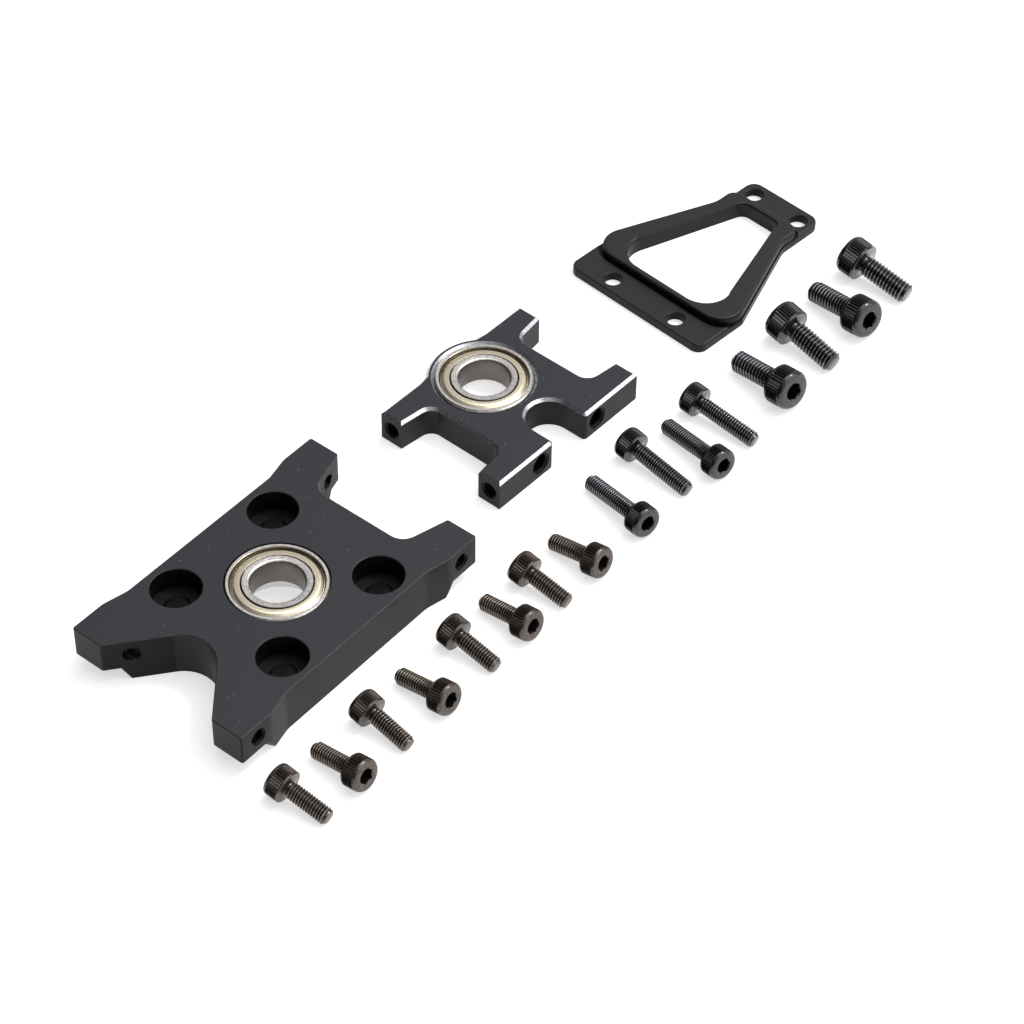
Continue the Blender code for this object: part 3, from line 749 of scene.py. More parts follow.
@dataclass
class LowerBlock:
    """Waisted H block: four thinner legs, a vee notch, a flat notch and four counterbores."""

    finishes: dict[str, bpy.types.Material]
    height: float = 8.6
    leg_height: float = 5.8
    half_width: float = 17.95
    waist_half_width: float = 16.9
    half_length: float = 28.0
    leg_inner: float = 11.9
    tip_round: float = 0.4
    waist_end: float = 16.7
    leg_start: float = 21.2
    waist_round: float = 5.0
    flat_notch_y: float = 19.35
    flat_notch_half: float = 9.5
    flat_notch_round: float = 3.0
    vee_apex: float = 13.3
    vee_round: float = 6.0
    bolt_pitch: float = 22.8
    bolt_r: float = 2.15
    counterbore_r: float = 4.25
    counterbore_depth: float = 4.1
    tap_y: float = 24.2
    tap_inner_x: float = 8.0
    leg_tap: TappedHole = TappedHole(drill_r=1.25, thread_r=1.5, mouth_r=1.62, pitch=0.5, depth=12.0)
    edge_break: float = 0.13
    relief_angle: float = math.radians(25.0)
    relief_run: float = 1.6
    relief_x: float = 13.5
    relief_y: float = 22.4
    relief_reach: float = 16.0

    def outline(self) -> list[Point]:
        """The block seen from above.

        Returns:
            The outline's points.
        """
        return arc_corners(mirrored([
            (0.0, -self.vee_apex, self.vee_round),
            (self.leg_inner, -self.half_length, self.tip_round),
            (self.half_width, -self.half_length, self.tip_round),
            (self.half_width, -self.leg_start, self.waist_round),
            (self.waist_half_width, -self.waist_end, self.waist_round),
            (self.waist_half_width, self.waist_end, self.waist_round),
            (self.half_width, self.leg_start, self.waist_round),
            (self.half_width, self.half_length, self.tip_round),
            (self.leg_inner, self.half_length, self.tip_round),
            (self.flat_notch_half, self.flat_notch_y, self.flat_notch_round),
        ]))

    def cut_leg_step(self, block: bpy.types.Object, side_x: int, side_y: int) -> None:
        """Mill the underside of one leg up to its own thickness, with a slanted step.

        Args:
            block: The block.
            side_x: -1 for the left legs, 1 for the right ones.
            side_y: -1 for the front legs, 1 for the back ones.
        """
        step = self.height - self.leg_height
        # The slant runs on past the underside, so that no corner of the tool lies in that face.
        section = [(-self.relief_run / step * PAST, -PAST), (self.relief_run, step),
                   (self.relief_reach, step), (self.relief_reach, -PAST)]
        tool = slab("leg_step_tool", section, -self.relief_reach, self.relief_reach)
        turn_and_apply(tool, Vector(), Euler((math.radians(90.0), 0.0, 0.0)))
        outward = math.radians(90.0) - self.relief_angle
        heading = outward if side_x > 0 else math.pi - outward
        place = Vector((side_x * self.relief_x, side_y * self.relief_y, 0.0))
        turn_and_apply(tool, place, Euler((0.0, 0.0, heading * side_y)))
        combine(block, tool)

    def cut_bolt_hole(self, block: bpy.types.Object, x: float, y: float) -> None:
        """Counterbore and drill one bolt hole, its edges broken.

        Args:
            block: The block.
            x: The hole's place.
            y: The hole's place.
        """
        brk = self.edge_break
        ledge = self.height - self.counterbore_depth
        # Both mouths' cones run on past the faces: an edge of the tool in a face can leave a skin there.
        profile = [
            (0.0, self.height + PAST), (self.counterbore_r + brk + PAST, self.height + PAST),
            (self.counterbore_r, self.height - brk), (self.counterbore_r, ledge),
            (self.bolt_r + brk, ledge), (self.bolt_r, ledge - brk),
            (self.bolt_r, brk), (self.bolt_r + brk + PAST, -PAST), (0.0, -PAST)]
        tool = turned("bolt_hole_tool", profile, HOLE_STEPS)
        turn_and_apply(tool, Vector((x, y, 0.0)), Euler())
        combine(block, tool)

    def choose(self, centre: Vector, normal: Vector) -> int:
        """Slot 0 for faces, 1 for walls (partly painted shade), 2 for broken edges, 3 inside holes (painted
        shade), 4 for the lip (painted light).

        Args:
            centre: The face's centre, in millimetres.
            normal: Its normal.

        Returns:
            The slot.
        """
        pitch = self.bolt_pitch / 2.0
        bolt = math.hypot(abs(centre.x) - pitch, abs(centre.y) - pitch) < self.counterbore_r + 0.01
        off_tap = math.hypot(abs(centre.y) - self.tap_y, centre.z - self.tap_z)
        tapped = off_tap < self.leg_tap.mouth_r and abs(centre.x) > self.tap_inner_x
        # Slot 3, near black, is painted shade in the tapped holes, the bolt holes and the seat's wall.
        if tapped and abs(normal.z) < 0.999 and abs(normal.x) < 0.99:
            return 3
        if bolt and centre.z < self.height - 0.01:
            return 1 if normal.z > 0.9 else 3
        # The lip's wall takes painted light: a bright finish where it would lie in shade.
        if math.hypot(centre.x, centre.y) < BearingSeat.lip_r + 0.01 and abs(normal.z) < 0.5:
            return 4
        if math.hypot(centre.x, centre.y) < 9.0 and normal.z < 0.9:
            return 3
        if centre.z > self.height - 0.2 and 0.3 < normal.z < 0.95:
            return 2
        # Steep faces take the darker wall finish, partly painted shade.
        return 0 if abs(normal.z) > 0.9 else 1

    @property
    def tap_z(self) -> float:
        """Height of the leg's tapped holes."""
        return self.height - self.leg_height / 2.0

    def build(self) -> None:
        """Model the block, dress it and hand it over."""
        block = slab("lower_bearing_block", self.outline(), 0.0, self.height)
        chamfer(block, self.edge_break, level(self.height))
        chamfer(block, self.edge_break, level(0.0))
        BearingSeat(mouth_r=8.65).cut(block, self.height)
        corners = [(side_x, side_y) for side_x in (-1, 1) for side_y in (-1, 1)]
        for side_x, side_y in corners:
            self.cut_bolt_hole(block, side_x * self.bolt_pitch / 2.0, side_y * self.bolt_pitch / 2.0)
        for side_x, side_y in corners:
            self.cut_leg_step(block, side_x, side_y)
        for side_x, side_y in corners:
            tool = self.leg_tap.cutter("leg_tap_tool")
            mouth = Vector((side_x * self.half_width, side_y * self.tap_y, self.tap_z))
            turn_and_apply(tool, mouth, Euler((0.0, side_x * math.pi / 2.0, 0.0)))
            combine(block, tool)
        coats = ("block_face", "block_wall", "block_edge", "hole", "painted_light_lip")
        dress(block, [self.finishes[key] for key in coats], self.choose)
        smooth(block)
        axis = centre_of("lower_bearing_outer_ring")
        turn_and_apply(block, Vector((axis.x, axis.y, 0.0)), Euler(), MM)
        hand_over(block, "lower_block", Slot.BLOCK, "lower_block")


@dataclass
class UpperBlock:
    """Hub block with four short legs and a round-ended pocket, its top edges cut bright."""

    finishes: dict[str, bpy.types.Material]
    height: float = 6.0
    left: float = -7.45
    right: float = 19.1
    half_length: float = 18.0
    notch_y: float = 11.35
    notch_left: float = -2.1
    notch_right: float = 13.6
    notch_flare: float = 0.8
    notch_round: float = 2.2
    hub_r: float = 10.1
    hub_start: float = math.radians(140.6)
    hub_steps: int = 36
    blend_y: float = 8.6
    blend_round: float = 3.0
    pocket_r: float = 4.1
    pocket_centre: float = 14.65
    mouth_round: float = 0.75
    bright_width: float = 0.5
    edge_break: float = 0.15
    seat_mouth_r: float = 9.17
    side_tap_y: float = 7.4
    end_tap_x: tuple[float, float] = (-5.1, 16.75)
    side_tap: TappedHole = TappedHole(drill_r=1.65, thread_r=2.0, mouth_r=2.12, pitch=0.7, depth=8.5)
    end_tap: TappedHole = TappedHole(drill_r=1.25, thread_r=1.5, mouth_r=1.66, pitch=0.5, depth=8.0)
    turn: float = math.radians(-1.5)

    def outline(self) -> list[Point]:
        """The block seen from above, pocket and all.

        Returns:
            The outline's points.
        """
        left_end = self.notch_left - self.notch_flare
        right_end = self.notch_right + self.notch_flare
        pocket_end = self.pocket_centre - self.pocket_r
        pocket_round = self.pocket_r - 0.01
        back = [
            (self.right, self.pocket_r, self.mouth_round),
            (self.right, self.half_length, 0.0),
            (right_end, self.half_length, 0.0),
            (self.notch_right, self.notch_y, self.notch_round),
            (self.notch_left, self.notch_y, self.notch_round),
            (left_end, self.half_length, 0.0),
            (self.left, self.half_length, 0.0),
            (self.left, self.blend_y, self.blend_round),
        ]
        hub: list[Corner] = []
        for step in range(self.hub_steps + 1):
            angle = self.hub_start + 2.0 * (math.pi - self.hub_start) * step / self.hub_steps
            hub.append((self.hub_r * math.cos(angle), self.hub_r * math.sin(angle), 0.0))
        front = [(x, -y, r) for x, y, r in reversed(back)]
        pocket = [(pocket_end, -self.pocket_r, pocket_round), (pocket_end, self.pocket_r, pocket_round)]
        return arc_corners(back + hub + front + pocket)

    def choose(self, centre: Vector, normal: Vector) -> int:
        """Slot 0 for faces, 1 for walls (partly painted shade), 2 for bright edges, 3 in tapped holes
        (painted shade), 4 for the lip (painted light).

        Args:
            centre: The face's centre, in millimetres.
            normal: Its normal.

        Returns:
            The slot.
        """
        middle = self.height / 2.0
        side = math.hypot(abs(centre.y) - self.side_tap_y, centre.z - middle) < self.side_tap.mouth_r
        side = side and centre.x > self.notch_right
        side = side and abs(normal.x) < 0.99 and abs(centre.y) > self.pocket_r + 0.3
        off_tap = min(math.hypot(centre.x - x, centre.z - middle) for x in self.end_tap_x)
        end = off_tap < self.end_tap.mouth_r
        end = end and abs(normal.y) < 0.99 and abs(centre.y) > 9.0
        # Slot 3, near black, is painted shade in the tapped holes.
        if side or end:
            return 3
        # The lip's wall takes painted light: a bright finish where it would lie in shade.
        if math.hypot(centre.x, centre.y) < BearingSeat.lip_r + 0.01 and abs(normal.z) < 0.5:
            return 4
        if 0.3 < abs(normal.z) < 0.95 and centre.z > self.height - 1.0:
            return 2
        # Steep faces take the darker wall finish, partly painted shade.
        return 0 if abs(normal.z) > 0.9 else 1

    def build(self) -> None:
        """Model the block, dress it and hand it over."""
        block = slab("upper_bearing_block", self.outline(), 0.0, self.height)
        chamfer(block, self.bright_width, level(self.height))
        chamfer(block, self.edge_break, level(0.0))
        BearingSeat(mouth_r=self.seat_mouth_r).cut(block, self.height)
        for side_y in (-1, 1):
            side_tool = self.side_tap.cutter("side_tap_tool")
            mouth = Vector((self.right, side_y * self.side_tap_y, self.height / 2.0))
            turn_and_apply(side_tool, mouth, Euler((0.0, math.pi / 2.0, 0.0)))
            combine(block, side_tool)
            for x in self.end_tap_x:
                end_tool = self.end_tap.cutter("end_tap_tool")
                mouth = Vector((x, side_y * self.half_length, self.height / 2.0))
                turn_and_apply(end_tool, mouth, Euler((-side_y * math.pi / 2.0, 0.0, 0.0)))
                combine(block, end_tool)
        coats = ("block_face", "block_wall", "bright_cut", "hole", "painted_light_lip")
        dress(block, [self.finishes[key] for key in coats], self.choose)
        smooth(block)
        axis = centre_of("upper_bearing_outer_ring")
        turn_and_apply(block, Vector((axis.x, axis.y, 0.0)), Euler((0.0, 0.0, self.turn)), MM)
        hand_over(block, "upper_block", Slot.BLOCK, "upper_block")


@dataclass
class BracePlate:
    """Thin flange and tab with a thicker soft-edged rim round a trapezoid window."""

    finishes: dict[str, bpy.types.Material]
    thickness: float = 1.8
    rim_top: float = 3.2
    half_width: float = 15.85
    front_y: float = -2.85
    shoulder_y: float = 8.7
    neck_y: float = 28.4
    tab_half_width: float = 8.2
    back_y: float = 38.85
    rim_front_half: float = 17.75
    rim_front_y: float = 3.2
    rim_neck_half: float = 8.05
    rim_neck_y: float = 28.2
    rim_back_y: float = 33.0
    window_front: Point = (12.7, 4.5)
    window_back: Point = (4.1, 31.5)
    hole_r: float = 1.6
    holes: tuple[Point, Point] = ((7.55, 0.0), (5.3, 35.75))
    edge_round: float = 0.35
    rim_round: float = 0.45
    groove_width: float = 0.4
    groove_depth: float = 0.35
    turn: float = math.radians(-5.2)
    shrink: float = 0.9996

    def rim_outline(self, grow: float = 0.0) -> list[Point]:
        """The rim seen from above, grown all round by a width.

        Args:
            grow: How much wider each side is.

        Returns:
            The outline's points.
        """
        return arc_corners(mirrored([
            (self.rim_front_half + 2.0 * grow, self.rim_front_y - grow, 4.5),
            (self.rim_neck_half + grow, self.rim_neck_y, 5.0),
            (self.rim_neck_half + grow, self.rim_back_y + grow, 2.0),
        ]))

    def build(self) -> None:
        """Model the plate, dress it and hand it over."""
        base = arc_corners(mirrored([
            (self.half_width, self.front_y, 2.0),
            (self.half_width, self.shoulder_y, 3.0),
            (self.tab_half_width, self.neck_y, 5.0),
            (self.tab_half_width, self.back_y, 2.2),
        ]))
        plate = slab("windowed_brace_plate", base, 0.0, self.thickness)
        chamfer(plate, self.edge_round, level(self.thickness), 3)
        chamfer(plate, self.edge_round / 2.0, level(0.0), 2)
        moat = slab("moat_tool", self.rim_outline(self.groove_width), self.thickness - self.groove_depth,
                    self.thickness + PAST)
        combine(plate, moat)
        rim = slab("rim", self.rim_outline(), self.thickness / 2.0, self.rim_top)
        chamfer(rim, self.rim_round, level(self.rim_top), 4)
        combine(plate, rim, "UNION")
        window = arc_corners(mirrored([(*self.window_front, 4.8), (*self.window_back, 1.9)]))
        combine(plate, slab("window_tool", window, -PAST, self.rim_top + PAST))
        inside = self.window_test(window)
        chamfer(plate, self.rim_round, lambda a, b: level(self.rim_top)(a, b) and inside(a) and inside(b), 4)
        for side_x in (-1, 1):
            for x, y in self.holes:
                combine(plate, self.hole_tool(side_x * x, y))
        dress(plate, [self.finishes[key] for key in ("plate_face", "hole", "plate_wall")], self.choose)
        smooth(plate)
        self.flatten_shading(plate)
        turn_and_apply(plate, Vector(), Euler((0.0, 0.0, self.turn)), MM * self.shrink)
        settle_on(plate, "brace_plate")
        hand_over(plate, "brace_plate", Slot.PLATE, "brace_plate")

    def window_test(self, window: list[Point]) -> Callable[[Vector], bool]:
        """Test for points on the window's outline."""
        return lambda p: any(abs(p.x - x) < 1e-3 and abs(p.y - y) < 1e-3 for x, y in window)

    def hole_tool(self, x: float, y: float) -> bpy.types.Object:
        """Make the tool for one screw hole, its mouths slightly flared.

        Args:
            x: The hole's place.
            y: The hole's place.

        Returns:
            The tool.
        """
        flare = 0.2
        profile = [
            (0.0, self.thickness + PAST), (self.hole_r + flare, self.thickness + PAST),
            (self.hole_r + flare, self.thickness), (self.hole_r, self.thickness - flare),
            (self.hole_r, flare), (self.hole_r + flare, 0.0), (self.hole_r + flare, -PAST), (0.0, -PAST)]
        tool = turned("plate_hole_tool", profile, HOLE_STEPS)
        turn_and_apply(tool, Vector((x, y, 0.0)), Euler())
        return tool

    def choose(self, centre: Vector, normal: Vector) -> int:
        """Slot 1, near black painted shade, in the screw holes and the groove's floor; slot 2, darker and
        partly painted shade, on steep faces; slot 0 elsewhere.

        Args:
            centre: The face's centre, in millimetres.
            normal: Its normal.

        Returns:
            The slot.
        """
        holes = [math.hypot(abs(centre.x) - x, centre.y - y) for x, y in self.holes]
        # The groove's floor and the screw holes take the near-black hole finish, painted shade.
        in_groove = abs(centre.z - self.thickness + self.groove_depth) < 0.05 and normal.z > 0.9
        if min(holes) < self.hole_r + 0.01 and abs(normal.z) < 0.5 or in_groove:
            return 1
        # Steep faces take the darker wall finish, partly painted shade.
        return 2 if abs(normal.z) < 0.6 else 0

    def flatten_shading(self, plate: bpy.types.Object) -> None:
        """Let the large flat faces rule the shading, so that only the rounds look round.

        Args:
            plate: The plate.
        """
        hold(plate)
        modifier = plate.modifiers.new("weighted", "WEIGHTED_NORMAL")
        modifier.keep_sharp = True
        bpy.ops.object.modifier_apply(modifier=modifier.name)


def settle_on(piece: bpy.types.Object, node: str) -> None:
    """Move a piece's mesh so that its box is centred on a node's and stands as low.

    Args:
        piece: The piece, already turned and in metres.
        node: The frame node that it stands for.
    """
    low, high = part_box(node)
    points = [vertex.co for vertex in piece.data.vertices]
    least = Vector([min(p[axis] for p in points) for axis in range(3)])
    most = Vector([max(p[axis] for p in points) for axis in range(3)])
    shift = (low + high - least - most) / 2.0
    shift.z = low.z - least.z
    turn_and_apply(piece, shift, Euler())


# --- Bearings -----------------------------------------------------------------


@dataclass
class Bearing:
    """Shielded ball bearing, modelled about its centre and laid in one block's seat."""

    side: str
    body: str
    finishes: dict[str, bpy.types.Material]
    bore_r: float = 4.5
    outer_r: float = 8.5
    half: float = 2.5
    shoulder_r: float = 5.8
    land_r: float = 7.5
    recess_r: float = 7.8
    recess_depth: float = 0.75
    pitch_r: float = 6.75
    ball_r: float = 1.15
    ball_count: int = 10
    groove_clearance: float = 0.1
    corner: float = 0.22
    bore_round: float = 0.38
    cage_inner_r: float = 6.35
    cage_outer_r: float = 7.15
    cage_half: float = 1.6
    shield_inner_r: float = 5.98
    shield_sheet: float = 0.15
    shield_flat_z: float = 2.38
    shield_flat_r: float = 6.98
    shield_foot_r: float = 7.42
    shield_foot_z: float = 1.93
    wire_r: float = 0.09
    wire_ring_r: float = 7.66
    wire_z: float = 2.03
    wire_gap: float = 1.2

    @property
    def centre(self) -> Vector:
        """The bearing's centre in the frame."""
        return centre_of(f"{self.side}_bearing_outer_ring")

    def lay(self, piece: bpy.types.Object, body: str, slot: Slot, node: str) -> None:
        """Shade a piece, set it in the seat and hand it over.

        Args:
            piece: The piece about the bearing's centre, in millimetres.
            body: The body that it moves with.
            slot: The record's material slot.
            node: The rest of its frame node's name.
        """
        smooth(piece)
        turn_and_apply(piece, self.centre, Euler(), MM)
        hand_over(piece, body, slot, f"{self.side}_bearing_{node}")

    def track(self, wall_r: float, sign: float) -> list[Point]:
        """The ball track's arc in a ring's wall, from top to bottom.

        Args:
            wall_r: Radius of the wall that the track is cut in.
            sign: -1 for the inner ring, 1 for the outer one.

        Returns:
            The arc's points.
        """
        radius = self.ball_r + self.groove_clearance
        opening = math.acos(abs(self.pitch_r - wall_r) / radius)
        steps = 10
        angles = [opening * (1.0 - 2.0 * step / steps) for step in range(steps + 1)]
        return [(self.pitch_r + sign * radius * math.cos(a), radius * math.sin(a)) for a in angles]

    def build_rings(self) -> None:
        """Turn the two races."""
        half, corner, small = self.half, self.corner, 0.12
        recess = half - self.recess_depth
        outer = turned(f"{self.side}_outer_race", [
            (self.recess_r + 0.06, half), (self.outer_r - corner, half), (self.outer_r, half - corner),
            (self.outer_r, corner - half), (self.outer_r - corner, -half), (self.recess_r + 0.06, -half),
            (self.recess_r, small - half), (self.recess_r, -recess), (self.land_r, -recess),
            *reversed(self.track(self.land_r, 1.0)),
            (self.land_r, recess), (self.recess_r, recess), (self.recess_r, half - small),
        ], ROUND_STEPS, ring=True)
        # Slot 1, the darker bore steel, is painted shade on the races' inner walls and in the bore.
        steels = [self.finishes[f"ring_{self.side}"], self.finishes["bore"]]
        dress(outer, steels, lambda centre, normal: int(
            centre.xy.length < self.recess_r and abs(normal.z) < 0.9))
        self.lay(outer, f"{self.body}_block", Slot.RING, "outer_ring")
        curve = [math.radians(22.5 * step) for step in range(5)]
        bore = [(self.bore_r + self.bore_round * (1.0 - math.cos(a)),
                 half - self.bore_round * (1.0 - math.sin(a))) for a in curve]
        inner = turned(f"{self.side}_inner_race", [
            (self.shoulder_r, half - small), *self.track(self.shoulder_r, -1.0),
            (self.shoulder_r, small - half), (self.shoulder_r - small, -half),
            *[(r, -z) for r, z in reversed(bore)], *bore, (self.shoulder_r - small, half),
        ], ROUND_STEPS, ring=True)
        dress(inner, steels, lambda centre, normal: int(
            abs(normal.z) < (0.8 if centre.xy.length > 5.0 else 0.3)))
        self.lay(inner, f"{self.body}_inner_ring", Slot.RING, "inner_ring")

    def build_shield(self, end: str, sign: float) -> None:
        """Press one dished shield and bend its wire ring.

        Args:
            end: top or bottom.
            sign: 1 for the top, -1 for the bottom.
        """
        sheet, flat, foot = self.shield_sheet, self.shield_flat_z, self.shield_foot_z
        edge_r, flat_r, foot_r = self.shield_inner_r, self.shield_flat_r, self.shield_foot_r
        rim_r = self.recess_r - 0.06
        section = [
            (edge_r, flat - sheet), (edge_r, flat - 0.05), (edge_r + 0.05, flat), (flat_r - 0.06, flat),
            (flat_r + 0.02, flat - 0.03), (foot_r, foot + 0.03), (foot_r + 0.06, foot), (rim_r, foot),
            (rim_r, foot - sheet), (foot_r - 0.02, foot - sheet), (flat_r - 0.1, flat - sheet)]
        section = [(radius, height * sign) for radius, height in section]
        shield = turned(f"{self.side}_{end}_dust_shield", section, ROUND_STEPS, ring=True)
        dress(shield, [self.finishes[f"shield_{self.side}"]])
        self.lay(shield, f"{self.body}_block", Slot.SHIELD, f"{end}_shield")
        loop_steps = 10
        loop = [(self.wire_ring_r + self.wire_r * math.cos(FULL_TURN * step / loop_steps),
                 self.wire_z * sign + self.wire_r * math.sin(FULL_TURN * step / loop_steps))
                for step in range(loop_steps)]
        wire = turned(f"{self.side}_{end}_wire_ring", loop, ROUND_STEPS, ring=True)
        deselect_everything()
        bpy.ops.mesh.primitive_cube_add(size=1.0, location=(0.0, self.wire_ring_r, self.wire_z * sign),
                                        scale=(self.wire_gap, 1.0, 1.0))
        combine(wire, bpy.context.active_object)
        dress(wire, [self.finishes["wire"]])
        self.lay(wire, f"{self.body}_block", Slot.WIRE, f"{end}_snap_ring")

    def build_cage(self) -> None:
        """Turn the cage, cut its pockets, and fill them with balls."""
        cage = turned(f"{self.side}_ball_cage", [
            (self.cage_outer_r, self.cage_half), (self.cage_outer_r, -self.cage_half),
            (self.cage_inner_r, -self.cage_half), (self.cage_inner_r, self.cage_half),
        ], ROUND_STEPS, ring=True)
        chamfer(cage, 0.1, lambda a, b: abs(abs(a.z) - self.cage_half) < 1e-3 and abs(a.z - b.z) < 1e-3
                and abs(math.hypot(a.x, a.y) - math.hypot(b.x, b.y)) < 1e-3, 2)
        ball = self.ball_pattern()
        for number in range(self.ball_count):
            angle = FULL_TURN * number / self.ball_count
            place = Vector((math.cos(angle), math.sin(angle), 0.0)) * self.pitch_r
            deselect_everything()
            bpy.ops.mesh.primitive_cylinder_add(vertices=HOLE_STEPS, radius=self.ball_r + 0.12, depth=3.0,
                                                location=place, rotation=(0.0, math.pi / 2.0, angle))
            combine(cage, bpy.context.active_object)
            piece = copy_of(ball, f"{self.side}_ball_{number + 1:02d}")
            turn_and_apply(piece, place, Euler((0.3 * number, 0.5 * number, angle)))
            self.lay(piece, f"{self.body}_cage", Slot.BALL, f"ball_{number + 1:02d}")
        bpy.data.objects.remove(ball, do_unlink=True)
        dress(cage, [self.finishes["cage"]])
        self.lay(cage, f"{self.body}_cage", Slot.CAGE, "cage")

    def ball_pattern(self) -> bpy.types.Object:
        """Blow a subdivided cube up into a ball with no poles.

        Returns:
            The ball about the origin, in millimetres.
        """
        deselect_everything()
        bpy.ops.mesh.primitive_cube_add(size=1.0)
        ball = bpy.context.active_object
        with editing(ball):
            bpy.ops.mesh.subdivide(number_cuts=9)
        for vertex in ball.data.vertices:
            vertex.co = vertex.co.normalized() * self.ball_r
        dress(ball, [self.finishes["ball"]])
        return ball

    def build(self) -> None:
        """Make every piece of the bearing."""
        self.build_rings()
        self.build_shield("top", 1.0)
        self.build_shield("bottom", -1.0)
        self.build_cage()


# --- Screws -------------------------------------------------------------------


class ScrewKind(Enum):
    """The three sizes of cap screw, by their frame nodes' name."""

    SHORT = "short_screw"
    LONG = "long_screw"
    LARGE = "large_screw"


@dataclass
class CapScrews:
    """One size of knurled socket cap screw and how its copies lie."""

    kind: ScrewKind
    slot: Slot
    finishes: list[bpy.types.Material]
    head_r: float
    head_h: float
    shank_r: float
    length: float
    flats: float
    pitch: float
    teeth: int
    headings: tuple[float, ...]
    thread_depth_share: float = 0.6
    rows_per_pitch: int = 8
    knurl_depth: float = 0.18
    socket_depth_share: float = 0.55
    tip_chamfer: float = 0.4
    neck: float = 0.5

    @property
    def root_r(self) -> float:
        """Radius of the thread's root."""
        return self.shank_r - self.pitch * self.thread_depth_share

    @property
    def knurl_low(self) -> float:
        """Height where the knurling starts."""
        return self.head_h * 0.12

    @property
    def knurl_high(self) -> float:
        """Height where the knurling ends, below the smooth rounded edge."""
        return self.head_h * 0.78

    def profile(self) -> list[Point]:
        """The screw's half section, from the top of its head to its tip.

        Returns:
            (radius, height) points.
        """
        crown = self.head_h - self.knurl_high
        rounding = [(self.head_r - crown * (1.0 - math.cos(a)) * 0.8, self.knurl_high + crown * math.sin(a))
                    for a in (math.radians(15.0 * step) for step in range(6, 0, -1))]
        section = [(0.0, self.head_h), *rounding]
        section += [(self.head_r, self.knurl_high + 0.04), (self.head_r - 1e-5, self.knurl_high)]
        section += [(self.head_r - 1e-5, self.knurl_low), (self.head_r, self.knurl_low - 0.04)]
        section += [(self.head_r, 0.12), (self.head_r - 0.12, 0.0)]
        section += [(self.shank_r + 0.15, 0.0), (self.root_r + 0.04, -0.15), (self.root_r, -0.3)]
        rows = round((self.length - self.neck - self.tip_chamfer) / self.pitch * self.rows_per_pitch)
        for row in range(rows + 1):
            section.append((self.root_r, -self.neck - row * self.pitch / self.rows_per_pitch))
        section += [(self.root_r - 0.05, -self.length + 0.02), (self.root_r - 0.12, -self.length)]
        return section + [(0.0, -self.length)]

    def knurl(self, screw: bpy.types.Object) -> None:
        """Press straight grooves into the side of the head.

        Args:
            screw: The turned screw.
        """
        for vertex in screw.data.vertices:
            x, y, z = vertex.co
            low_enough = self.knurl_low - 0.01 <= z <= self.knurl_high + 0.01
            if not low_enough or math.hypot(x, y) < self.head_r - 0.01:
                continue
            column = round(math.atan2(y, x) / FULL_TURN * 2 * self.teeth)
            share = 1.0 - self.knurl_depth / self.head_r * (column % 2)
            vertex.co.x = x * share
            vertex.co.y = y * share

    def cut_socket(self, screw: bpy.types.Object) -> None:
        """Broach the hex socket and countersink its mouth.

        Args:
            screw: The knurled screw.
        """
        corner_r = self.flats / 2.0 / math.cos(math.pi / 6.0)
        floor = self.head_h * (1.0 - self.socket_depth_share)
        top, sink_depth = self.head_h, 0.25
        sink = [(0.0, top + PAST), (corner_r + 0.05 + PAST, top + PAST), (corner_r + 0.05, top),
                (self.flats / 2.0 - 0.1, top - sink_depth), (0.0, top - sink_depth)]
        combine(screw, turned("sink_tool", sink, HOLE_STEPS))
        deselect_everything()
        bpy.ops.mesh.primitive_cylinder_add(vertices=6, radius=corner_r, depth=self.head_h - floor + PAST,
                                            location=(0.0, 0.0, (self.head_h + floor + PAST) / 2.0))
        hexagon = bpy.context.active_object
        with editing(hexagon, "EDGE"):
            pick_edges(hexagon, level(floor))
            bpy.ops.mesh.bevel(offset=0.2, segments=1, affect="EDGES")
        combine(screw, hexagon)

    def choose(self, centre: Vector, normal: Vector) -> int:
        """Slot 1, near black painted shade, inside the socket and in the thread's roots; 2 on thread and
        knurl; 0 elsewhere.

        Args:
            centre: The face's centre, in millimetres.
            normal: Its normal.

        Returns:
            The slot.
        """
        radius = centre.xy.length
        threaded = -self.length + 0.3 < centre.z < -0.4
        if threaded and radius < self.root_r + 0.4 * (self.shank_r - self.root_r):
            return 1
        if radius < self.flats / 2.0 * 1.1 and 0.3 < centre.z < self.head_h - 0.2:
            return 1
        return 2 if threaded or self.knurl_low < centre.z < self.knurl_high else 0

    def pattern(self) -> bpy.types.Object:
        """Model one screw, head up, with its head's underside at z = 0.

        Returns:
            The pattern, in millimetres.
        """
        screw = turned(f"{self.kind.value}_pattern", self.profile(), 2 * self.teeth)
        self.knurl(screw)
        roll_thread(screw, self.root_r, self.shank_r, self.pitch, -self.neck - self.pitch / 2.0,
                    self.tip_chamfer * 0.6 - self.length)
        self.cut_socket(screw)
        dress(screw, self.finishes, self.choose)
        smooth(screw)
        return screw

    def build(self) -> None:
        """Lay a copy of the pattern on each of this size's frame nodes."""
        pattern = self.pattern()
        dip = math.atan2(self.head_r - self.shank_r, self.length)
        for number, heading in enumerate(self.headings, 1):
            node = f"{self.kind.value}_{number}"
            screw = copy_of(pattern, node.replace("screw", "cap_screw"))
            turn_and_apply(screw, Vector(), Euler((0.0, 0.0, math.radians(37.0 * number))))
            turn = Euler((0.0, dip - math.pi / 2.0, math.radians(heading)))
            turn_and_apply(screw, Vector(), turn, MM)
            settle_on(screw, node)
            hand_over(screw, node, self.slot, node)
        bpy.data.objects.remove(pattern, do_unlink=True)


# --- Studio -------------------------------------------------------------------


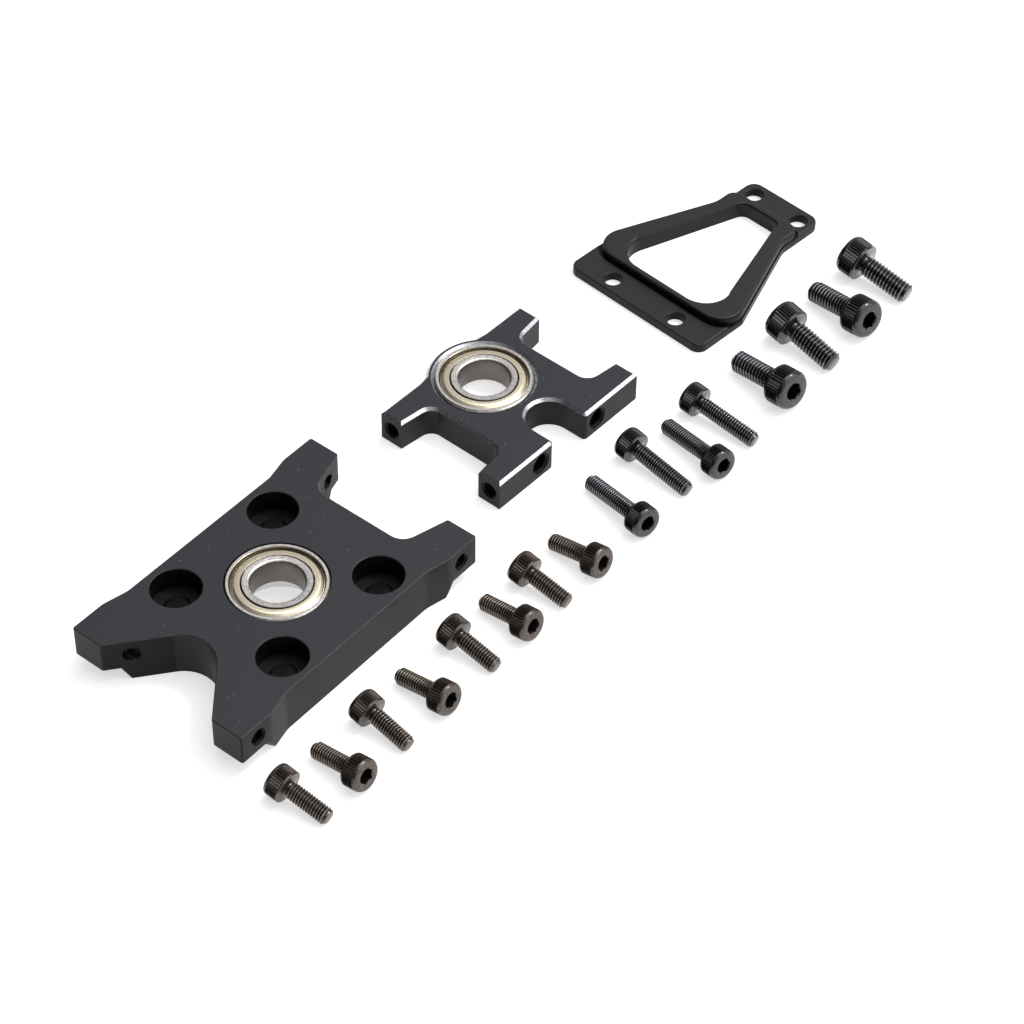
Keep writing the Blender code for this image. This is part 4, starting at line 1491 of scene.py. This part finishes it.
@dataclass
class Softbox:
    name: str
    bearing: float
    elevation: float
    width: float
    height: float
    power: float
    distance: float = 1.4

    def place(self) -> None:
        side, rise = math.radians(self.bearing), math.radians(self.elevation)
        away = Vector((math.cos(side) * math.cos(rise), math.sin(side) * math.cos(rise), math.sin(rise)))
        lamp = bpy.data.lights.new(self.name, "AREA")
        lamp.shape = "RECTANGLE"
        lamp.size = self.width
        lamp.size_y = self.height
        lamp.energy = self.power
        panel = bpy.data.objects.new(self.name, lamp)
        panel.location = away * self.distance
        panel.rotation_euler = away.to_track_quat("Z", "Y").to_euler()
        bpy.context.scene.collection.objects.link(panel)


@dataclass
class Studio:
    """Pale table, soft light panels and the camera."""

    sheet: bpy.types.Material
    aim: Point = (4.25, -10.94)
    azimuth: float = 38.7
    elevation: float = 45.22
    distance: float = 521.35
    roll: float = 0.778
    lens: float = 110.0
    table_size: float = 6.0
    sky_low: float = 0.04
    sky_high: float = 0.68
    bright_side: tuple[float, float, float] = (0.42, 0.62, 0.66)

    def lay_table(self) -> None:
        """Lay the backlit sheet that everything lies on."""
        deselect_everything()
        bpy.ops.mesh.primitive_plane_add(size=self.table_size)
        table = bpy.context.active_object
        table.name = "paper_table"
        dress(table, [self.sheet])

    def hang_lights(self) -> None:
        """A key panel on the right and one overhead, inside a sky that is dark in front."""
        panels = (
            Softbox("right_panel", bearing=21.0, elevation=30.0, width=1.5, height=1.0, power=7.8),
            Softbox("overhead_panel", bearing=75.0, elevation=74.0, width=1.3, height=1.2, power=9.0),
            Softbox("spark_panel", bearing=70.0, elevation=58.0, width=0.3, height=0.25, power=8.0),
        )
        for panel in panels:
            panel.place()
        world = bpy.data.worlds.new("graded_studio")
        world.use_nodes = True
        tree = world.node_tree
        place = add_node(tree, "ShaderNodeTexCoord")
        facing = add_node(tree, "ShaderNodeVectorMath", {"operation": "DOT_PRODUCT"}, {
            0: place.outputs["Generated"], 1: self.bright_side})
        wash = add_node(tree, "ShaderNodeMapRange", {"interpolation_type": "SMOOTHSTEP"}, {
            "Value": facing.outputs["Value"], "From Min": -0.35, "From Max": 0.6,
            "To Min": self.sky_low, "To Max": self.sky_high})
        sky = tree.nodes["Background"]
        sky.inputs["Color"].default_value = linear("fafaff")
        tree.links.new(wash.outputs["Result"], sky.inputs["Strength"])
        bpy.context.scene.world = world
        bpy.context.scene.view_settings.view_transform = "Standard"

    def set_camera(self) -> None:
        turn, rise = math.radians(self.azimuth), math.radians(self.elevation)
        back = Vector((math.sin(turn) * math.cos(rise), -math.cos(turn) * math.cos(rise), math.sin(rise)))
        target = Vector((self.aim[0], self.aim[1], 0.0)) * MM
        data = bpy.data.cameras.new("long_lens")
        data.lens = self.lens
        data.clip_start = 0.01
        camera = bpy.data.objects.new("long_lens", data)
        camera.location = target + back * self.distance * MM
        level_view = back.to_track_quat("Z", "Y").to_matrix()
        camera.rotation_euler = (level_view @ Matrix.Rotation(math.radians(self.roll), 3, "Z")).to_euler()
        bpy.context.scene.collection.objects.link(camera)
        bpy.context.scene.camera = camera

    def build(self) -> None:
        """Set up the whole studio."""
        self.set_camera()
        self.lay_table()
        self.hang_lights()


def main() -> None:
    logging.basicConfig(level=logging.INFO, format="%(name)s: %(message)s")
    finishes = make_finishes()
    Studio(finishes["table"]).build()
    LowerBlock(finishes).build()
    UpperBlock(finishes).build()
    BracePlate(finishes).build()
    Bearing("lower", "lower", finishes).build()
    Bearing("upper", "upper", finishes).build()
    matt = [finishes[f"matt_{part}"] for part in ("oxide", "socket", "rubbed")]
    gloss = [finishes[f"gloss_{part}"] for part in ("oxide", "socket", "rubbed")]
    CapScrews(ScrewKind.SHORT, Slot.MATT_SCREW, matt, head_r=2.8, head_h=3.0, shank_r=1.47,
              length=8.0, flats=2.5, pitch=0.5, teeth=36,
              headings=(2.0, 179.0, -4.0, 180.0, -2.0, 178.0, -1.0, 180.0)).build()
    CapScrews(ScrewKind.LONG, Slot.GLOSS_SCREW, gloss, head_r=2.8, head_h=3.0, shank_r=1.47,
              length=12.0, flats=2.5, pitch=0.5, teeth=36, headings=(168.0, -6.0, 168.0, -2.0)).build()
    CapScrews(ScrewKind.LARGE, Slot.GLOSS_SCREW, gloss, head_r=3.55, head_h=4.0, shank_r=1.96,
              length=10.0, flats=3.0, pitch=0.7, teeth=40, headings=(171.0, -8.0, 170.0, -3.0)).build()


if __name__ == "__main__":
    main()
